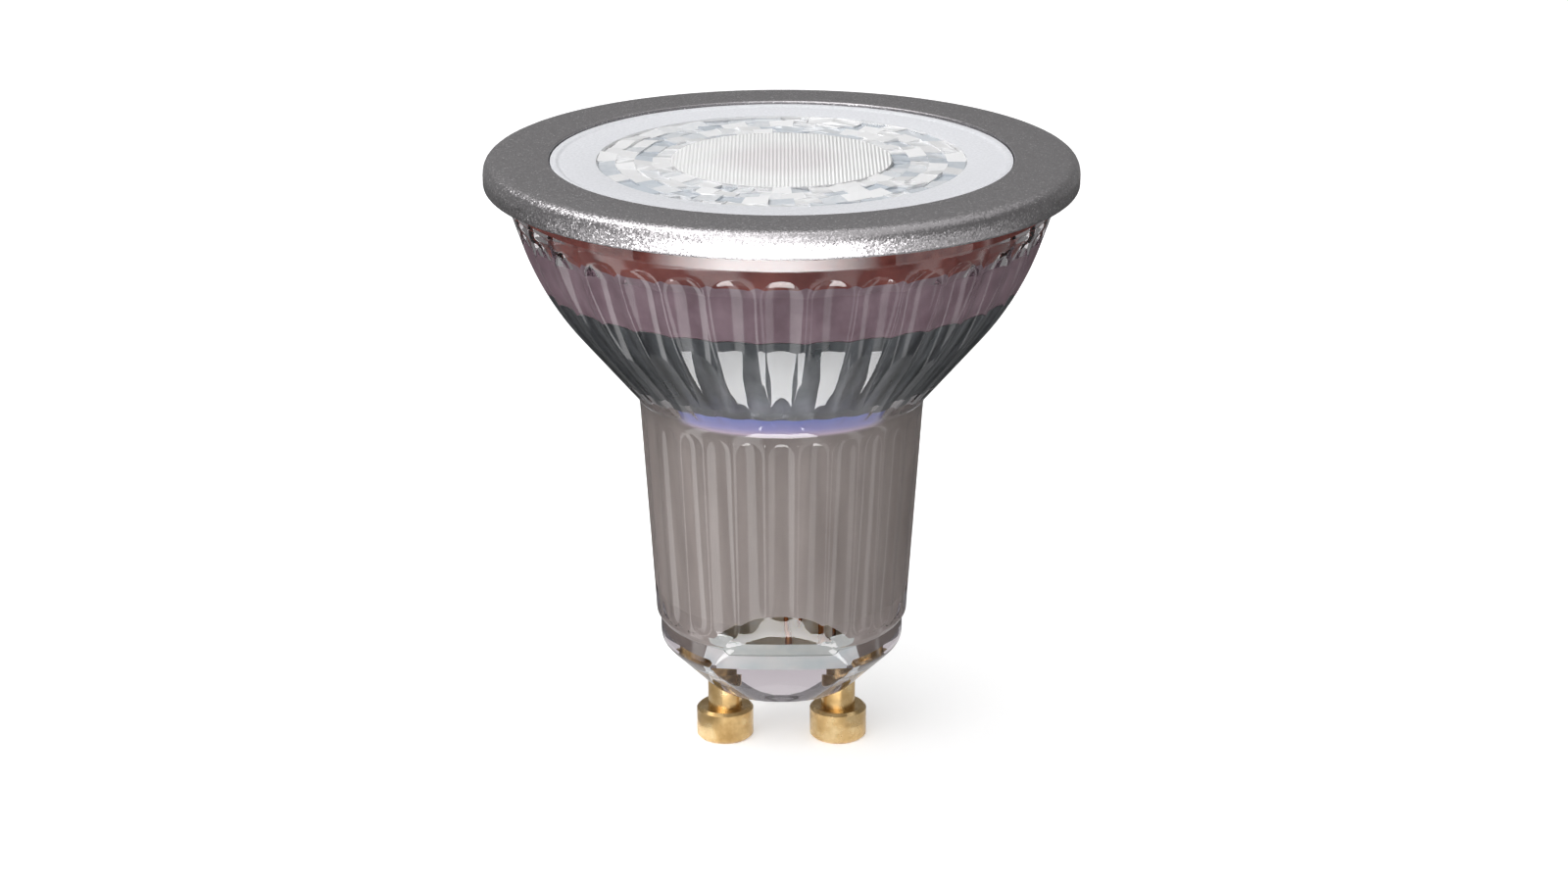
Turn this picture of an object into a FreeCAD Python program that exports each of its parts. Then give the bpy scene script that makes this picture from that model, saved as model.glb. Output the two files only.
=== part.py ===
import FreeCAD, Part
import os
import re
import Sketcher

# Spotlight bulb with a two-pin twist cap and a pressed glass body.
# Frame: origin between the pin ends on the bulb's axis, +Z towards the lens, pins on the X axis.

SIZES = {
    # Contact pins, with the tail that is flared inside the cap
    "pin_pitch": 10.0,
    "pin_length": 5.7,
    "pin_head_radius": 2.5,
    "pin_head_height": 2.9,
    "pin_edge_chamfer": 0.25,
    "pin_shank_radius": 1.5,
    "pin_seat_depth": 2.9,
    "pin_tail_radius": 1.1,
    "pin_tail_rise": 0.3,
    "pin_flare_radius": 1.4,
    "pin_flare_height": 0.25,
    "pin_bore_radius": 0.35,
    "pin_bore_depth": 3.5,
    "pin_clearance": 0.05,
    # Cap block of the glass body
    "cap_face_radius": 6.4,
    "cap_bevel_height": 4.15,
    "cap_thickness": 3.9,
    "cap_floor_radius": 7.0,
    "cap_flat_inset": 0.1,
    "cap_flat_top_height": 9.4,
    "cap_flat_top_radius": 11.2,
    "cap_cavity_height": 4.4,
    "collar_radius": 10.55,
    "collar_height": 2.2,
    # Stem
    "stem_step_height": 0.25,
    "stem_foot_radius": 10.9,
    "stem_length": 19.7,
    "stem_wall": 1.6,
    "neck_radius": 12.2,
    # Bowl: a cone, an arc that carries it on, then an upright rim
    "bowl_cone_height": 6.0,
    "bowl_cone_spread": 5.1,
    "bowl_arc_height": 11.2,
    "bowl_rim_radius": 22.9,
    "bowl_arc_radius": 26.8,
    "bowl_wall": 1.8,
    "rim_height": 1.8,
    # Flutes on the bowl
    "bowl_flute_count": 36,
    "bowl_flute_radius": 4.0,
    "bowl_flute_depth": 0.3,
    "bowl_flute_runout": 1.64,
    "bowl_flute_runout_angle": 7.0,
    "bowl_flute_top_angle": 4.0,
    "bowl_flute_tail_angle": 2.36,
    "bowl_flute_tail": 1.69,
    # Flutes on the stem
    "stem_flute_count": 28,
    "stem_flute_radius": 3.4,
    "stem_flute_depth": 0.25,
    "stem_flute_margin": 1.9,
    # Rim gasket, an angle section
    "gasket_thickness": 0.25,
    "gasket_leg_width": 0.75,
    "gasket_leg_height": 2.0,
    "gasket_clearance": 0.1,
    # Lens
    "lens_flange_thickness": 0.7,
    "lens_flange_margin": 0.6,
    "lens_recess": 0.25,
    "lens_bead_width": 0.5,
    "lens_bead_height": 0.2,
    "lens_groove_depth": 0.4,
    "lens_groove_slope": 0.4,
    "lens_centre_radius": 9.2,
    "lens_frost_width": 3.9,
    "lens_base_radius": 5.2,
    "lens_led_gap": 0.85,
    "lens_facet_count": 36,
    "lens_facet_rows": 5,
    "lens_facet_curve": 0.7,
    "lens_cavity_radius": 3.7,
    "lens_cavity_depth": 4.6,
    "lens_dome_height": 1.2,
    "lens_clearance": 0.1,
    # Front ring
    "ring_overhang": 2.1,
    "ring_lap": 3.4,
    "ring_height": 2.2,
    "ring_face_thickness": 0.9,
    "ring_edge_radius": 1.2,
    "ring_lower_radius": 0.3,
    "ring_clearance": 0.15,
    # Heat dish and the skirt above it
    "dish_clearance": 0.2,
    "dish_wall": 1.2,
    "dish_floor_rise": 2.2,
    "dish_floor_thickness": 1.2,
    "dish_height": 8.3,
    "holder_clearance": 0.3,
    "holder_wall": 0.9,
    "seat_gap": 0.05,
    # LED board, its light source and screws
    "board_clearance": 0.15,
    "board_thickness": 1.6,
    "substrate_width": 9.0,
    "substrate_thickness": 1.0,
    "substrate_well_depth": 0.3,
    "phosphor_radius": 3.4,
    "screw_edge_distance": 2.0,
    "screw_radius": 1.0,
    "screw_head_radius": 1.9,
    "screw_head_height": 1.2,
    "screw_slot_width": 0.6,
    "screw_slot_depth": 0.5,
    "screw_clearance": 0.1,
    # Leads from the driver board to the LED board
    "led_pin_radius": 0.4,
    "led_pin_offset": 5.6,
    "led_pin_lap": 3.2,
    "led_pin_rise": 0.5,
    "led_pin_clearance": 0.1,
    "led_pin_insulation_gap": 0.8,
    # Driver sleeve with its arches
    "sleeve_clearance": 0.15,
    "sleeve_wall": 0.9,
    "sleeve_foot_rise": 1.7,
    "sleeve_arch_half_width": 5.6,
    "sleeve_arch_radius": 6.0,
    "sleeve_arch_top": 5.6,
    # Driver board: a wide upper part on a narrower foot
    "driver_board_front": 4.0,
    "driver_board_thickness": 1.2,
    "driver_foot_half_width": 4.6,
    "driver_foot_height": 3.1,
    "driver_half_width": 6.7,
    "driver_board_height": 22.2,
    "driver_foot_gap": 0.1,
    # Parts on the driver board
    "capacitor_radius": 3.9,
    "capacitor_height": 12.0,
    "capacitor_groove": 0.3,
    "capacitor_x": 3.2,
    "capacitor_z": 10.3,
    "inductor_flange_radius": 3.4,
    "inductor_core_radius": 1.4,
    "inductor_flange_thickness": 0.9,
    "inductor_length": 7.0,
    "inductor_winding_radius": 3.0,
    "inductor_x": 3.9,
    "inductor_z": 17.6,
    "film_width": 6.0,
    "film_depth": 3.6,
    "film_height": 7.0,
    "film_x": 3.9,
    "film_z": 4.5,
    "fuse_radius": 1.3,
    "fuse_neck_radius": 1.1,
    "fuse_cap_length": 1.2,
    "fuse_length": 6.4,
    "fuse_x": 3.4,
    "fuse_z": 2.2,
    "rectifier_width": 4.7,
    "rectifier_depth": 1.6,
    "rectifier_height": 3.8,
    "rectifier_z": 8.9,
    "chip_width": 4.9,
    "chip_depth": 1.4,
    "chip_height": 3.9,
    "chip_z": 15.4,
    "chip_leg_count": 4,
    "chip_leg_width": 0.5,
    "chip_leg_length": 0.9,
    "chip_leg_thickness": 0.3,
    "part_gap": 0.1,
    # Mains wires
    "wire_radius": 0.3,
    "wire_left_x": 0.6,
    "wire_right_x": 3.4,
    "wire_embed": 2.6,
    "wire_upright": 0.05,
    "wire_bend_radius": 0.6,
    "wire_lap": 4.2,
    # Sealing compound on the cap's floor
    "potting_height": 1.6,
    "potting_clearance": 0.05,
}

# Heights of the seats above the pin ends, and the bowl arc's centre
CAP_FLOOR = "(pin_length + cap_thickness)"
CAVITY_TOP = f"({CAP_FLOOR} + cap_cavity_height)"
BEVEL_TOP = "(pin_length + cap_bevel_height)"
COLLAR_TOP = f"({BEVEL_TOP} + collar_height)"
STEM_FOOT = f"({COLLAR_TOP} + stem_step_height)"
NECK = f"({STEM_FOOT} + stem_length)"
CONE_R = "(neck_radius + bowl_cone_spread)"
CONE_Z = f"({NECK} + bowl_cone_height)"
LIP = f"({CONE_Z} + bowl_arc_height)"
RIM = f"({LIP} + rim_height)"
GASKET_TOP = f"({RIM} + gasket_thickness)"
FLANGE_TOP = f"({GASKET_TOP} + lens_flange_thickness)"
RING_UNDER = f"({FLANGE_TOP} + seat_gap)"
RING_TOP = f"({RING_UNDER} + ring_face_thickness)"
RING_R = "(bowl_rim_radius + ring_overhang)"
OPENING_R = "(bowl_rim_radius - ring_lap)"
ARC_SPREAD = f"(bowl_rim_radius - {CONE_R})"
ARC_LIFT = f"sqrt(bowl_arc_radius^2 / ({ARC_SPREAD}^2 + bowl_arc_height^2) - 0.25)"
CENTRE_R = f"((bowl_rim_radius + {CONE_R}) / 2 - {ARC_LIFT} * bowl_arc_height)"
CENTRE_Z = f"({CONE_Z} + bowl_arc_height / 2 + {ARC_LIFT} * {ARC_SPREAD})"
INNER_ARC = "(bowl_arc_radius - bowl_wall)"
INNER_RIM = f"({CENTRE_R} + sqrt({INNER_ARC}^2 - ({CENTRE_Z} - {LIP})^2))"
INNER_CONE_R = f"({CENTRE_R} + ({CONE_R} - {CENTRE_R}) * {INNER_ARC} / bowl_arc_radius)"
INNER_CONE_Z = f"({CENTRE_Z} + ({CONE_Z} - {CENTRE_Z}) * {INNER_ARC} / bowl_arc_radius)"
INNER_NECK_R = "(neck_radius - stem_wall)"
INNER_NECK_Z = f"({NECK} + bowl_wall / 2)"
INNER_SLOPE = f"(({INNER_CONE_R} - {INNER_NECK_R}) / ({INNER_CONE_Z} - {INNER_NECK_Z}))"
CAVITY_TOP_R = "(stem_foot_radius - stem_wall)"
DISH_UNDER = f"({NECK} + dish_floor_rise)"
DISH_FLOOR = f"({DISH_UNDER} + dish_floor_thickness)"
DISH_TOP = f"({DISH_UNDER} + dish_height)"
DISH_ARC = f"({INNER_ARC} - dish_clearance)"
DISH_INNER_ARC = f"({DISH_ARC} - dish_wall)"
DISH_SHARE = f"({DISH_ARC} / bowl_arc_radius)"
DISH_INNER_SHARE = f"({DISH_INNER_ARC} / bowl_arc_radius)"
DISH_CONE_R = f"({CENTRE_R} + ({CONE_R} - {CENTRE_R}) * {DISH_SHARE})"
DISH_CONE_Z = f"({CENTRE_Z} + ({CONE_Z} - {CENTRE_Z}) * {DISH_SHARE})"
DISH_INNER_CONE_R = f"({CENTRE_R} + ({CONE_R} - {CENTRE_R}) * {DISH_INNER_SHARE})"
DISH_INNER_CONE_Z = f"({CENTRE_Z} + ({CONE_Z} - {CENTRE_Z}) * {DISH_INNER_SHARE})"
DISH_FLOOR_R = f"({DISH_INNER_CONE_R} - ({DISH_INNER_CONE_Z} - {DISH_FLOOR}) * {INNER_SLOPE})"
BOARD_R = f"({DISH_FLOOR_R} - board_clearance)"
SCREW_Y = f"({BOARD_R} - screw_edge_distance)"
BOARD_TOP = f"({DISH_FLOOR} + board_thickness)"
SUBSTRATE_TOP = f"({BOARD_TOP} + substrate_thickness)"
LENS_BASE = f"({SUBSTRATE_TOP} + lens_led_gap)"
SLEEVE_FOOT = f"({CAP_FLOOR} + sleeve_foot_rise)"
DRIVER_FOOT = f"({SLEEVE_FOOT} + driver_foot_gap)"
DRIVER_BACK = "(driver_board_thickness - driver_board_front)"
LED_PIN_Y = "(-driver_board_front - led_pin_radius)"
WIRE_Y = "(-driver_board_front - part_gap - wire_radius)"

DOC = FreeCAD.newDocument("spotlight_bulb")
SHEET = DOC.addObject("Spreadsheet::Sheet", "sizes")
PARTS = []


def fill_sheet():
    """One row per size, with its name as the alias of its cell."""
    for row, (name, size) in enumerate(SIZES.items(), start=1):
        SHEET.set(f"A{row}", name)
        SHEET.set(f"B{row}", str(size))
        SHEET.setAlias(f"B{row}", name)
    DOC.recompute()


def bound(expression):
    """Each size in an expression, named with its sheet."""
    return re.sub(r"[a-z]+(_[a-z]+)+", r"sizes.\g<0>", expression)


def value(expression):
    """The present number of an expression, used to start sketches near their solution."""
    result = SHEET.evalExpression(bound(expression))
    return float(getattr(result, "Value", result))


def bind(thing, **expressions):
    """Ties properties to expressions; a double underscore stands for a dot in a property's path."""
    for path, expression in expressions.items():
        thing.setExpression(path.replace("__", "."), bound(expression))


def arc_reach(radius, height):
    """Distance from the bulb's axis to an arc about the bowl's centre, at a height."""
    return f"({CENTRE_R} + sqrt({radius}^2 - ({CENTRE_Z} - {height})^2))"


def cavity_reach(height):
    """Distance from the axis to the wall of the cap's conical cavity, at a height."""
    slope = f"(({CAVITY_TOP_R} - cap_floor_radius) / cap_cavity_height)"
    return f"(cap_floor_radius + ({height} - {CAP_FLOOR}) * {slope})"


def new_body(label):
    body = DOC.addObject("PartDesign::Body", label)
    body.Label = label
    PARTS.append(body)
    return body


def sketch_on(body, role, name, base=None, angle=None, axis=None):
    """A sketch on one of its body's origin planes, moved and turned there by expressions."""
    sketch = body.newObject("Sketcher::SketchObject", name)
    plane = next(item for item in body.Origin.OriginFeatures if item.Role == role)
    sketch.AttachmentSupport = [(plane, "")]
    sketch.MapMode = "FlatFace"
    if angle:
        turn = FreeCAD.Rotation(FreeCAD.Vector(*axis), value(angle))
        sketch.AttachmentOffset = FreeCAD.Placement(FreeCAD.Vector(), turn)
        bind(sketch, AttachmentOffset__Rotation__Angle=angle)
    for letter, place in zip("xyz", base or ()):
        bind(sketch, **{f"AttachmentOffset__Base__{letter}": place})
    return sketch


def pin_down(sketch, edge, end, x, y):
    """Holds one end of an edge at a place given by two expressions."""
    for kind, place, axis in (("DistanceX", x, -2), ("DistanceY", y, -1)):
        if place == "0":
            sketch.addConstraint(Sketcher.Constraint("PointOnObject", edge, end, axis))
        else:
            index = sketch.addConstraint(Sketcher.Constraint(kind, -1, 1, edge, end, value(place)))
            sketch.setExpression(f"Constraints[{index}]", bound(place))


def arc_between(start, end, radius, side):
    """The short arc between two points, with its centre to the left or right of the way from one to the other."""
    chord = end - start
    left = FreeCAD.Vector(-chord.y, chord.x, 0).normalize()
    rise = (radius ** 2 - chord.Length ** 2 / 4) ** 0.5
    centre = (start + end) * 0.5 + left * (rise if side == "left" else -rise)
    first, last = (start, end) if side == "left" else (end, start)
    across = FreeCAD.Vector(1, 0, 0)
    up = FreeCAD.Vector(0, 0, 1)
    angles = [across.getAngle(point - centre) * (1 if point.y >= centre.y else -1) for point in (first, last)]
    return Part.ArcOfCircle(Part.Circle(centre, up, radius), *angles)


def outline(sketch, corners, closed=True):
    """Edges from corner to corner. A corner is a place, then, where an arc follows it, a radius and a side."""
    points = [FreeCAD.Vector(value(corner[0]), value(corner[1]), 0) for corner in corners]
    first_edge = sketch.GeometryCount
    spans = len(corners) if closed else len(corners) - 1
    ends = []
    for k in range(spans):
        start, end = points[k], points[(k + 1) % len(points)]
        if len(corners[k]) == 2:
            sketch.addGeometry(Part.LineSegment(start, end))
            ends.append((1, 2))
            continue
        radius, side = corners[k][2:]
        edge = sketch.addGeometry(arc_between(start, end, value(radius), side))
        index = sketch.addConstraint(Sketcher.Constraint("Radius", edge, value(radius)))
        sketch.setExpression(f"Constraints[{index}]", bound(radius))
        ends.append((1, 2) if side == "left" else (2, 1))
    for k in range(spans):
        edge = first_edge + k
        pin_down(sketch, edge, ends[k][0], *corners[k][:2])
        if k + 1 < spans or closed:
            follower = (k + 1) % spans
            joined = Sketcher.Constraint("Coincident", edge, ends[k][1], first_edge + follower, ends[follower][0])
            sketch.addConstraint(joined)
        else:
            pin_down(sketch, edge, ends[k][1], *corners[k + 1][:2])


def ring_line(sketch, x, y, radius):
    """A full circle at a place given by expressions."""
    centre = FreeCAD.Vector(value(x), value(y), 0)
    edge = sketch.addGeometry(Part.Circle(centre, FreeCAD.Vector(0, 0, 1), value(radius)))
    pin_down(sketch, edge, 3, x, y)
    index = sketch.addConstraint(Sketcher.Constraint("Radius", edge, value(radius)))
    sketch.setExpression(f"Constraints[{index}]", bound(radius))


def block_line(sketch, left, right, low, high):
    outline(sketch, [(left, low), (right, low), (right, high), (left, high)])


def feature(body, kind, name, profile, **settings):
    """A sketch-based feature; one that cuts has to take material away."""
    before = 0 if body.Shape.isNull() else body.Shape.Volume
    made = body.newObject(kind, name)
    made.Profile = profile
    for setting, choice in settings.items():
        setattr(made, setting, choice)
    return made, before


def finish(body, made, before):
    DOC.recompute()
    cuts = any(word in made.TypeId for word in ("Pocket", "Groove", "Subtractive"))
    if cuts and made.Shape.Volume > before - 1e-6:
        raise RuntimeError(f"{made.Name} cuts nothing")
    body.Tip = made
    return made


def turned(body, sketch, name, kind="Revolution", axis="V_Axis"):
    """A full turn of a sketch about one of its own axes."""
    made, before = feature(body, f"PartDesign::{kind}", name, sketch)
    made.ReferenceAxis = (sketch, [axis])
    made.Angle = 360.0
    return finish(body, made, before)


def pad(body, sketch, name, length, flip=False):
    made, before = feature(body, "PartDesign::Pad", name, sketch, Reversed=flip)
    bind(made, Length=length)
    return finish(body, made, before)


def through(body, sketch, name):
    """A cut right through the body, to both sides of its sketch."""
    made, before = feature(body, "PartDesign::Pocket", name, sketch, Type="ThroughAll", Midplane=True)
    return finish(body, made, before)


def pocket(body, sketch, name, length, flip=False):
    made, before = feature(body, "PartDesign::Pocket", name, sketch, Reversed=flip)
    bind(made, Length=length)
    return finish(body, made, before)


def around(body, originals, name, count):
    """Copies of features spread evenly about the bulb's axis."""
    before = body.Shape.Volume
    made = body.newObject("PartDesign::PolarPattern", name)
    made.Originals = originals
    made.Axis = (next(item for item in body.Origin.OriginFeatures if item.Role == "Z_Axis"), [""])
    made.Angle = 360.0
    bind(made, Occurrences=count)
    return finish(body, made, before)


def lathe(label, corners):
    """A body turned about the bulb's axis from its half section."""
    body = new_body(label)
    sketch = sketch_on(body, "XZ_Plane", f"{label}_section")
    outline(sketch, corners)
    turned(body, sketch, f"{label}_turn")
    return body


def contact_pin(side, sign):
    """Turned brass pin: head, shank, and a bored tail that is flared over the cap's floor."""
    shoulder = "(pin_length + pin_seat_depth)"
    top = f"({CAP_FLOOR} + pin_tail_rise)"
    body = lathe(f"contact_pin_{side}", [
        ("0", "0"),
        ("pin_head_radius - pin_edge_chamfer", "0"),
        ("pin_head_radius", "pin_edge_chamfer"),
        ("pin_head_radius", "pin_head_height - pin_edge_chamfer"),
        ("pin_head_radius - pin_edge_chamfer", "pin_head_height"),
        ("pin_shank_radius", "pin_head_height"),
        ("pin_shank_radius", shoulder),
        ("pin_tail_radius", shoulder),
        ("pin_tail_radius", f"{top} - pin_flare_height"),
        ("pin_flare_radius", top),
        ("pin_bore_radius", top),
        ("pin_bore_radius", f"{top} - pin_bore_depth"),
        ("0", f"{top} - pin_bore_depth"),
    ])
    bind(body, Placement__Base__x=f"{sign} * pin_pitch / 2")


def glass_body():
    """Pressed glass: one turned wall, scooped with flutes outside, with two flats on the cap and two pin holes."""
    body = lathe("glass_body", [
        ("0", "pin_length"),
        ("cap_face_radius", "pin_length"),
        ("collar_radius", BEVEL_TOP),
        ("collar_radius", COLLAR_TOP),
        ("stem_foot_radius", STEM_FOOT),
        ("neck_radius", NECK),
        (CONE_R, CONE_Z, "bowl_arc_radius", "left"),
        ("bowl_rim_radius", LIP),
        ("bowl_rim_radius", RIM),
        (INNER_RIM, RIM),
        (INNER_RIM, LIP, INNER_ARC, "right"),
        (INNER_CONE_R, INNER_CONE_Z),
        (INNER_NECK_R, INNER_NECK_Z),
        (CAVITY_TOP_R, CAVITY_TOP),
        ("cap_floor_radius", CAP_FLOOR),
        ("0", CAP_FLOOR),
    ])
    cap_flats(body)
    pin_holes(body)
    stem_flutes(body)
    bowl_flutes(body)


def cap_flats(body):
    """Two sloping flats on the cap block, in front of and behind the pins."""
    sketch = sketch_on(body, "YZ_Plane", "cap_flat_section")
    foot = "(cap_face_radius - cap_flat_inset)"
    rise = f"(cap_flat_top_radius - {foot}) / cap_flat_top_height"
    low = f"({foot} - pin_length * {rise})"
    high = "(pin_length + cap_flat_top_height)"
    for sign in ("", "-"):
        outline(sketch, [
            (f"{sign}{low}", "0"),
            (f"{sign}2 * cap_flat_top_radius", "0"),
            (f"{sign}2 * cap_flat_top_radius", f"{high} + cap_flat_top_radius / ({rise})"),
        ])
    through(body, sketch, "cap_flats")


def pin_holes(body):
    """Stepped holes for the pins' shanks and tails."""
    for name, radius, depth in (
        ("pin_seats", "pin_shank_radius + pin_clearance", "pin_length + pin_seat_depth"),
        ("pin_tail_holes", "pin_tail_radius + pin_clearance", f"{CAP_FLOOR} + pin_tail_rise"),
    ):
        sketch = sketch_on(body, "XY_Plane", f"{name}_line")
        for sign in ("", "-"):
            ring_line(sketch, f"{sign}pin_pitch / 2", "0", radius)
        pocket(body, sketch, name, depth, flip=True)


def stem_flutes(body):
    """Round-ended flutes along the stem: a capsule laid against the stem's slope, spread about the axis."""
    lean = "atan((neck_radius - stem_foot_radius) / stem_length)"
    stand_off = "(stem_flute_radius - stem_flute_depth)"
    length = f"(stem_length / cos({lean}) - 2 * stem_flute_margin)"
    foot_r = f"stem_foot_radius + stem_flute_margin * sin({lean}) + {stand_off} * cos({lean})"
    foot_z = f"{STEM_FOOT} + stem_flute_margin * cos({lean}) - {stand_off} * sin({lean})"
    sketch = sketch_on(
        body, "XZ_Plane", "stem_flute_section", base=(foot_r, foot_z, "0"), angle=f"-{lean}", axis=(0, 0, 1)
    )
    outline(sketch, [
        ("0", "-stem_flute_radius", "stem_flute_radius", "left"),
        ("stem_flute_radius", "0"),
        ("stem_flute_radius", length, "stem_flute_radius", "left"),
        ("0", f"{length} + stem_flute_radius"),
    ])
    flute = turned(body, sketch, "stem_flute", kind="Groove")
    around(body, [flute], "stem_flutes", "stem_flute_count")


def bowl_flutes(body):
    """Scoops on the bowl: a ball carried down an arc and a straight tail, so each has an arched top and fades out."""
    start = f"(asin(({CENTRE_Z} - {LIP}) / bowl_arc_radius) + bowl_flute_top_angle * 1 deg)"
    end = "(atan(bowl_cone_spread / bowl_cone_height) - bowl_flute_tail_angle * 1 deg)"
    aside = f"({end} + bowl_flute_runout_angle * 1 deg)"
    path_r = f"({CENTRE_R} + bowl_flute_runout * cos({aside}))"
    path_z = f"({CENTRE_Z} - bowl_flute_runout * sin({aside}))"
    path_radius = "(bowl_arc_radius + bowl_flute_radius - bowl_flute_depth - bowl_flute_runout)"
    plane = dict(base=(path_r, "0", path_z), angle=start, axis=(0, 1, 0))

    spine = sketch_on(body, "XZ_Plane", "bowl_flute_path")
    turn_r = f"({path_r} + {path_radius} * cos({end}))"
    turn_z = f"({path_z} - {path_radius} * sin({end}))"
    tail_z = f"({NECK} - bowl_flute_tail)"
    outline(spine, [
        (f"{path_r} + {path_radius} * cos({start})", f"{path_z} - {path_radius} * sin({start})", path_radius, "right"),
        (turn_r, turn_z),
        (f"{turn_r} - ({turn_z} - {tail_z}) * tan({end})", tail_z),
    ], closed=False)

    section = sketch_on(body, "XY_Plane", "bowl_flute_section", **plane)
    ring_line(section, path_radius, "0", "bowl_flute_radius")
    scoop, before = feature(body, "PartDesign::SubtractivePipe", "bowl_flute", section)
    scoop.Spine = (spine, [])
    finish(body, scoop, before)

    end_section = sketch_on(body, "XY_Plane", "bowl_flute_end_section", **plane)
    outline(end_section, [
        (f"{path_radius} + bowl_flute_radius", "0", "bowl_flute_radius", "left"),
        (path_radius, "bowl_flute_radius", "bowl_flute_radius", "left"),
        (f"{path_radius} - bowl_flute_radius", "0"),
    ])
    crown = turned(body, end_section, "bowl_flute_crown", kind="Groove", axis="H_Axis")
    around(body, [scoop, crown], "bowl_flutes", "bowl_flute_count")


def rim_gasket():
    """Moulded angle ring: one leg lies on the glass rim, the other hangs inside it."""
    outer = f"({INNER_RIM} - gasket_clearance - ring_clearance)"
    inner = f"({outer} - gasket_leg_width)"
    foot = f"({RIM} - gasket_leg_height)"
    lathe("rim_gasket", [
        (inner, foot),
        (outer, foot),
        (outer, RIM),
        ("bowl_rim_radius - gasket_clearance", RIM),
        ("bowl_rim_radius - gasket_clearance", GASKET_TOP),
        (inner, GASKET_TOP),
    ])


def front_ring():
    """Moulded ring with a rounded outer edge, which closes over the glass rim and the lens flange."""
    bore = "(bowl_rim_radius + ring_clearance)"
    foot = f"({RING_TOP} - ring_height)"
    lathe("front_ring", [
        (bore, foot),
        (f"{RING_R} - ring_lower_radius", foot, "ring_lower_radius", "left"),
        (RING_R, f"{foot} + ring_lower_radius"),
        (RING_R, f"{RING_TOP} - ring_edge_radius", "ring_edge_radius", "left"),
        (f"{RING_R} - ring_edge_radius", RING_TOP),
        (OPENING_R, RING_TOP),
        (OPENING_R, RING_UNDER),
        (bore, RING_UNDER),
    ])


def lens():
    """Moulded lens: a flanged disc with a bead and a shallow groove, on a facetted body with a domed hollow."""
    rim = f"({OPENING_R} - lens_clearance)"
    facets = f"({OPENING_R} - lens_frost_width)"
    top = f"({RING_TOP} - lens_recess)"
    face = f"({top} - lens_bead_height)"
    groove = f"({face} - lens_groove_depth)"
    flange = "(bowl_rim_radius - lens_flange_margin)"
    disc = lathe("lens_disc", [
        ("0", GASKET_TOP),
        (flange, GASKET_TOP),
        (flange, FLANGE_TOP),
        (rim, FLANGE_TOP),
        (rim, top),
        (f"{rim} - lens_bead_width", top),
        (f"{rim} - lens_bead_width - lens_bead_height", face),
        (facets, face),
        (f"{facets} - lens_groove_slope", groove),
        ("lens_centre_radius + lens_groove_slope", groove),
        ("lens_centre_radius", face),
        ("0", face),
    ])
    PARTS.remove(disc)
    rows = int(value("lens_facet_rows"))
    sections = []
    for row in range(rows + 1):
        section = DOC.addObject("Part::RegularPolygon", f"lens_section_{row}")
        share = f"({row} / lens_facet_rows)"
        bind(
            section,
            Polygon="lens_facet_count",
            Circumradius=f"lens_base_radius + ({facets} - lens_base_radius) * {share}^lens_facet_curve",
            Placement__Base__z=f"{LENS_BASE} + ({GASKET_TOP} - {LENS_BASE}) * {share}",
        )
        sections.append(section)
    body = DOC.addObject("Part::Loft", "lens_facets")
    body.Sections = sections
    body.Solid = True
    body.Ruled = True
    whole = DOC.addObject("Part::Fuse", "lens_blank")
    whole.Base = disc
    whole.Tool = body
    hollow = DOC.addObject("Part::Cylinder", "lens_hollow")
    bind(hollow, Radius="lens_cavity_radius", Height="lens_cavity_depth", Placement__Base__z=LENS_BASE)
    dome = DOC.addObject("Part::Sphere", "lens_dome")
    dome_radius = "((lens_cavity_radius^2 + lens_dome_height^2) / (2 * lens_dome_height))"
    dome_low = f"({LENS_BASE} + lens_cavity_depth - lens_dome_height)"
    bind(dome, Radius=dome_radius, Placement__Base__z=f"{dome_low} + {dome_radius}")
    tool = DOC.addObject("Part::Cut", "lens_hollow_domed")
    tool.Base = hollow
    tool.Tool = dome
    made = DOC.addObject("Part::Cut", "lens")
    made.Base = whole
    made.Tool = tool
    PARTS.append(made)


def lens_holder():
    """Moulded skirt that stands on the dish's edge and carries the lens flange."""
    outer_arc = f"({INNER_ARC} - holder_clearance)"
    inner_arc = f"({outer_arc} - holder_wall)"
    outer = f"({INNER_RIM} - 2 * gasket_clearance - ring_clearance - gasket_leg_width)"
    inner = f"({outer} - holder_wall)"
    foot = f"({DISH_TOP} + seat_gap)"
    lathe("lens_holder", [
        (arc_reach(inner_arc, foot), foot),
        (arc_reach(outer_arc, foot), foot, outer_arc, "left"),
        (outer, f"{CENTRE_Z} - sqrt({outer_arc}^2 - ({outer} - {CENTRE_R})^2)"),
        (outer, f"{GASKET_TOP} - seat_gap"),
        (inner, f"{GASKET_TOP} - seat_gap"),
        (inner, f"{CENTRE_Z} - sqrt({inner_arc}^2 - ({inner} - {CENTRE_R})^2)", inner_arc, "right"),
    ])


def heat_dish():
    """Spun aluminium dish that lines the lower bowl, with holes for the screws and the LED leads."""
    body = lathe("heat_dish", [
        ("0", DISH_UNDER),
        (f"{DISH_CONE_R} - ({DISH_CONE_Z} - {DISH_UNDER}) * {INNER_SLOPE}", DISH_UNDER),
        (DISH_CONE_R, DISH_CONE_Z, DISH_ARC, "left"),
        (arc_reach(DISH_ARC, DISH_TOP), DISH_TOP),
        (arc_reach(DISH_INNER_ARC, DISH_TOP), DISH_TOP, DISH_INNER_ARC, "right"),
        (DISH_INNER_CONE_R, DISH_INNER_CONE_Z),
        (DISH_FLOOR_R, DISH_FLOOR),
        ("0", DISH_FLOOR),
    ])
    plate_holes(body, "dish", "led_pin_radius + led_pin_insulation_gap", DISH_FLOOR)


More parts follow.
